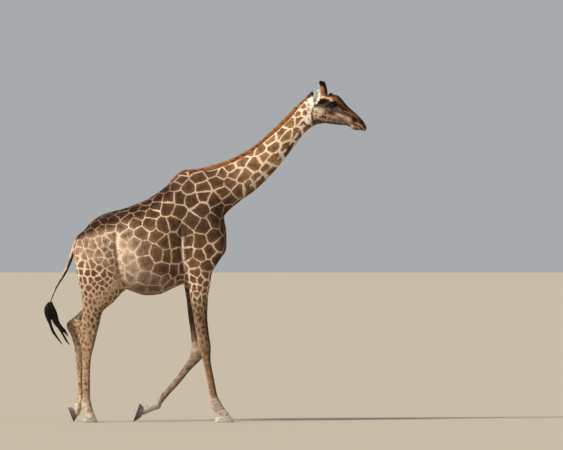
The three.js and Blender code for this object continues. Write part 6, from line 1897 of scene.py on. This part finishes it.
def horn_tuft(side, seed):
    rng = np.random.default_rng(seed)
    n = 420
    c, s = math.cos(math.radians(HORN[2])), math.sin(math.radians(HORN[2]))
    l = 88 + 86 * rng.uniform(0, 1, n) ** 0.6
    a = rng.uniform(0, 2 * math.pi, n)
    keep = (l > 136) | (np.cos(a) < -0.2)
    l, a = l[keep], a[keep]
    n = len(l)
    u = l / HORN[4]
    rad = np.interp(u, [0, 0.1, 0.5, 0.86, 1.0], [43, 36, 31, 29.5, 25]) * 0.82
    h = rad * np.cos(a) + HORN[3] * u ** 4
    y = side * (53 + 15 * u) + rad * 0.84 * np.sin(a)
    root = np.stack([HORN[0] + l * c - h * s, y, HORN[1] + l * s + h * c], 1)
    out = unit(np.stack([-s * np.cos(a), np.sin(a), c * np.cos(a)], 1))
    axis = np.array([c, 0, s])
    first = unit(axis * 0.9 + out * 0.30)
    last = unit(axis * 1.0 + out * rng.uniform(-0.35, 0.1, n)[:, None])
    long = np.minimum(rng.uniform(14, 26, n), (3752 - root[:, 2]) / 1.0).clip(5)
    col = np.tile(np.array((0.012, 0.009, 0.008)), (n, 1)) * rng.uniform(0.6, 1.8, n)[:, None]
    part = np.full(n, len(unwrap.names) + 2 + (side > 0))
    return strands(root, first, last, long, rng.uniform(2.2, 3.6, n), 1.0, col, part, seed + 1, k=4)


def brow_tuft(seed):
    """The small dark tuft behind the bump of the forehead."""
    rng = np.random.default_rng(seed)
    n = 150
    x, y = rng.normal(1386, 9, n), rng.normal(0, 16, n)
    z = np.full(n, 3594.0)
    root = np.stack([x, y, z], 1)
    for _ in range(6):
        root[:, 2] -= field(root) * 0.9
    first = unit(np.stack([rng.normal(-0.25, 0.2, n), rng.normal(0, 0.25, n), np.ones(n)], 1))
    last = unit(np.stack([rng.normal(0.35, 0.3, n), rng.normal(0, 0.3, n), np.ones(n)], 1))
    col = np.tile(np.array((0.035, 0.020, 0.013)), (n, 1)) * rng.uniform(0.5, 1.6, n)[:, None]
    return strands(root - np.array([0, 0, 3]), first, last, rng.uniform(14, 27, n), rng.uniform(1.8, 3.2, n), 1.0, col,
                   np.full(n, unwrap.names.index("head")), seed + 1)


def ear_hair(side, seed):
    """Long pale hair that grows across the cup from its front edge, and a fringe round the rim."""
    rng = np.random.default_rng(seed)
    e = Ear(side)
    sel = np.flatnonzero(part == len(unwrap.names) + (side > 0))
    if len(sel) < 10:
        return []
    pts = verts[sel]
    u, v, w = e.uvw(pts)
    n = 620
    i = rng.choice(len(sel), n)
    edge = np.abs(v[i]) > 0.72 * 43 * np.interp(u[i], [0, 0.12, 0.25, 0.4, 0.55, 0.7, 0.82, 0.9, 0.96, 1.0],
                                                [0.40, 0.56, 0.83, 1.0, 0.98, 0.86, 0.64, 0.43, 0.24, 0.10])
    inner = (w[i] > -22 * (1 - (v[i] / 43) ** 2)) & ~edge
    use = (edge | inner) & (u[i] > 0.05) & (u[i] < 0.97)
    i = i[use]
    n = len(i)
    root, nn = pts[i if False else i], normals[sel][i]
    long = np.where(np.abs(v[i]) > 24, 13.0, 24.0) * rng.uniform(0.7, 1.2, n)
    first = unit(e.along * 0.95 + nn * 0.22 + rng.normal(0, 0.10, (n, 3)))
    last = unit(e.along * 1.0 + nn * 0.05 + rng.normal(0, 0.16, (n, 3)))
    long = np.minimum(long, np.where(u[i] > 0.82, 6.0, 99.0))
    col = np.tile(np.array((0.88, 0.83, 0.77)), (n, 1)) * rng.uniform(0.88, 1.05, n)[:, None]
    return [strands(root - nn * 0.8, first, last, long, rng.uniform(1.4, 2.4, n), 1.0, col, np.full(n, len(unwrap.names) + (side > 0)), seed + 1)]


def whiskers(seed):
    rng = np.random.default_rng(seed)
    m = (verts[:, 0] > 1610) & (verts[:, 2] < 3262) & (bare < 0.2)
    sel = np.flatnonzero(m)
    i = rng.choice(sel, 190)
    n = len(i)
    nn = normals[i]
    first = unit(nn + np.array([0.2, 0, -0.3]))
    last = unit(nn * 0.3 + np.array([0.1, 0, -1.0]))
    low = (verts[i, 2] - 3150).clip(4) * 0.25
    long = np.minimum(rng.uniform(7, 16, n), low)
    long = np.where(verts[i, 0] > 1735, 5.0, long)
    col = np.tile(np.array((0.16, 0.11, 0.08)), (n, 1)) * rng.uniform(0.4, 1.8, n)[:, None]
    return strands(verts[i] - nn, first, last, long, rng.uniform(0.9, 1.5, n), 1.0, col, np.full(n, unwrap.names.index("head")), seed + 1)


fine = hair_material("fine_hair", 0.55)
lashes = hair_piece("lashes", lash_set(-1) + lash_set(1), fine)
horns = hair_piece("horn_tufts", [horn_tuft(-1, 91), horn_tuft(1, 93), brow_tuft(95)], hair_material("horn_hair", 0.5))
ears = hair_piece("ear_hair", ear_hair(-1, 97) + ear_hair(1, 99) + [whiskers(101)], fine)


# ---- Floor, light and camera --------------------------------------------------------------------
def plain(name, colour, rough):
    m = Nodes(name)
    m.bsdf.inputs["Base Color"].default_value = (*colour, 1)
    m.bsdf.inputs["Roughness"].default_value = rough
    return m.mat


bpy.ops.mesh.primitive_plane_add(size=3000, location=(0, 0, 0))
floor = bpy.context.object
floor.name = "floor"
floor.data.materials.append(plain("floor", (0.455, 0.395, 0.305), 0.95))

world = bpy.data.worlds.new("studio")
bpy.context.scene.world = world
world.use_nodes = True
world.node_tree.nodes["Background"].inputs["Color"].default_value = (0.93, 0.96, 1.0, 1)
world.node_tree.nodes["Background"].inputs["Strength"].default_value = 0.42
bpy.context.scene.view_settings.view_transform = "Standard"


def sun(name, towards, strength, angle, colour):
    data = bpy.data.lights.new(name, "SUN")
    data.energy = strength
    data.angle = math.radians(angle)
    data.color = colour
    ob = bpy.data.objects.new(name, data)
    ob.location = Vector(towards) * 10
    ob.rotation_euler = (-Vector(towards)).to_track_quat("-Z", "Y").to_euler()
    bpy.context.scene.collection.objects.link(ob)


sun("key", (-0.68, -0.45, 0.58), 4.60, 8, (1.0, 0.955, 0.88))
sun("fill", (0.75, -0.60, 0.28), 0.22, 60, (0.94, 0.97, 1.0))

camera = bpy.data.objects.new("camera", bpy.data.cameras.new("camera"))
bpy.context.scene.collection.objects.link(camera)
camera.data.sensor_width = 36.0
camera.data.lens = 400.0
camera.data.clip_start, camera.data.clip_end = 1.0, 4000.0
camera.location = (0.8364, -68.8, 1.72)
camera.rotation_euler = (math.radians(90) + math.atan2(2.167 - 1.72, 68.8), 0, 0)
bpy.context.scene.camera = camera
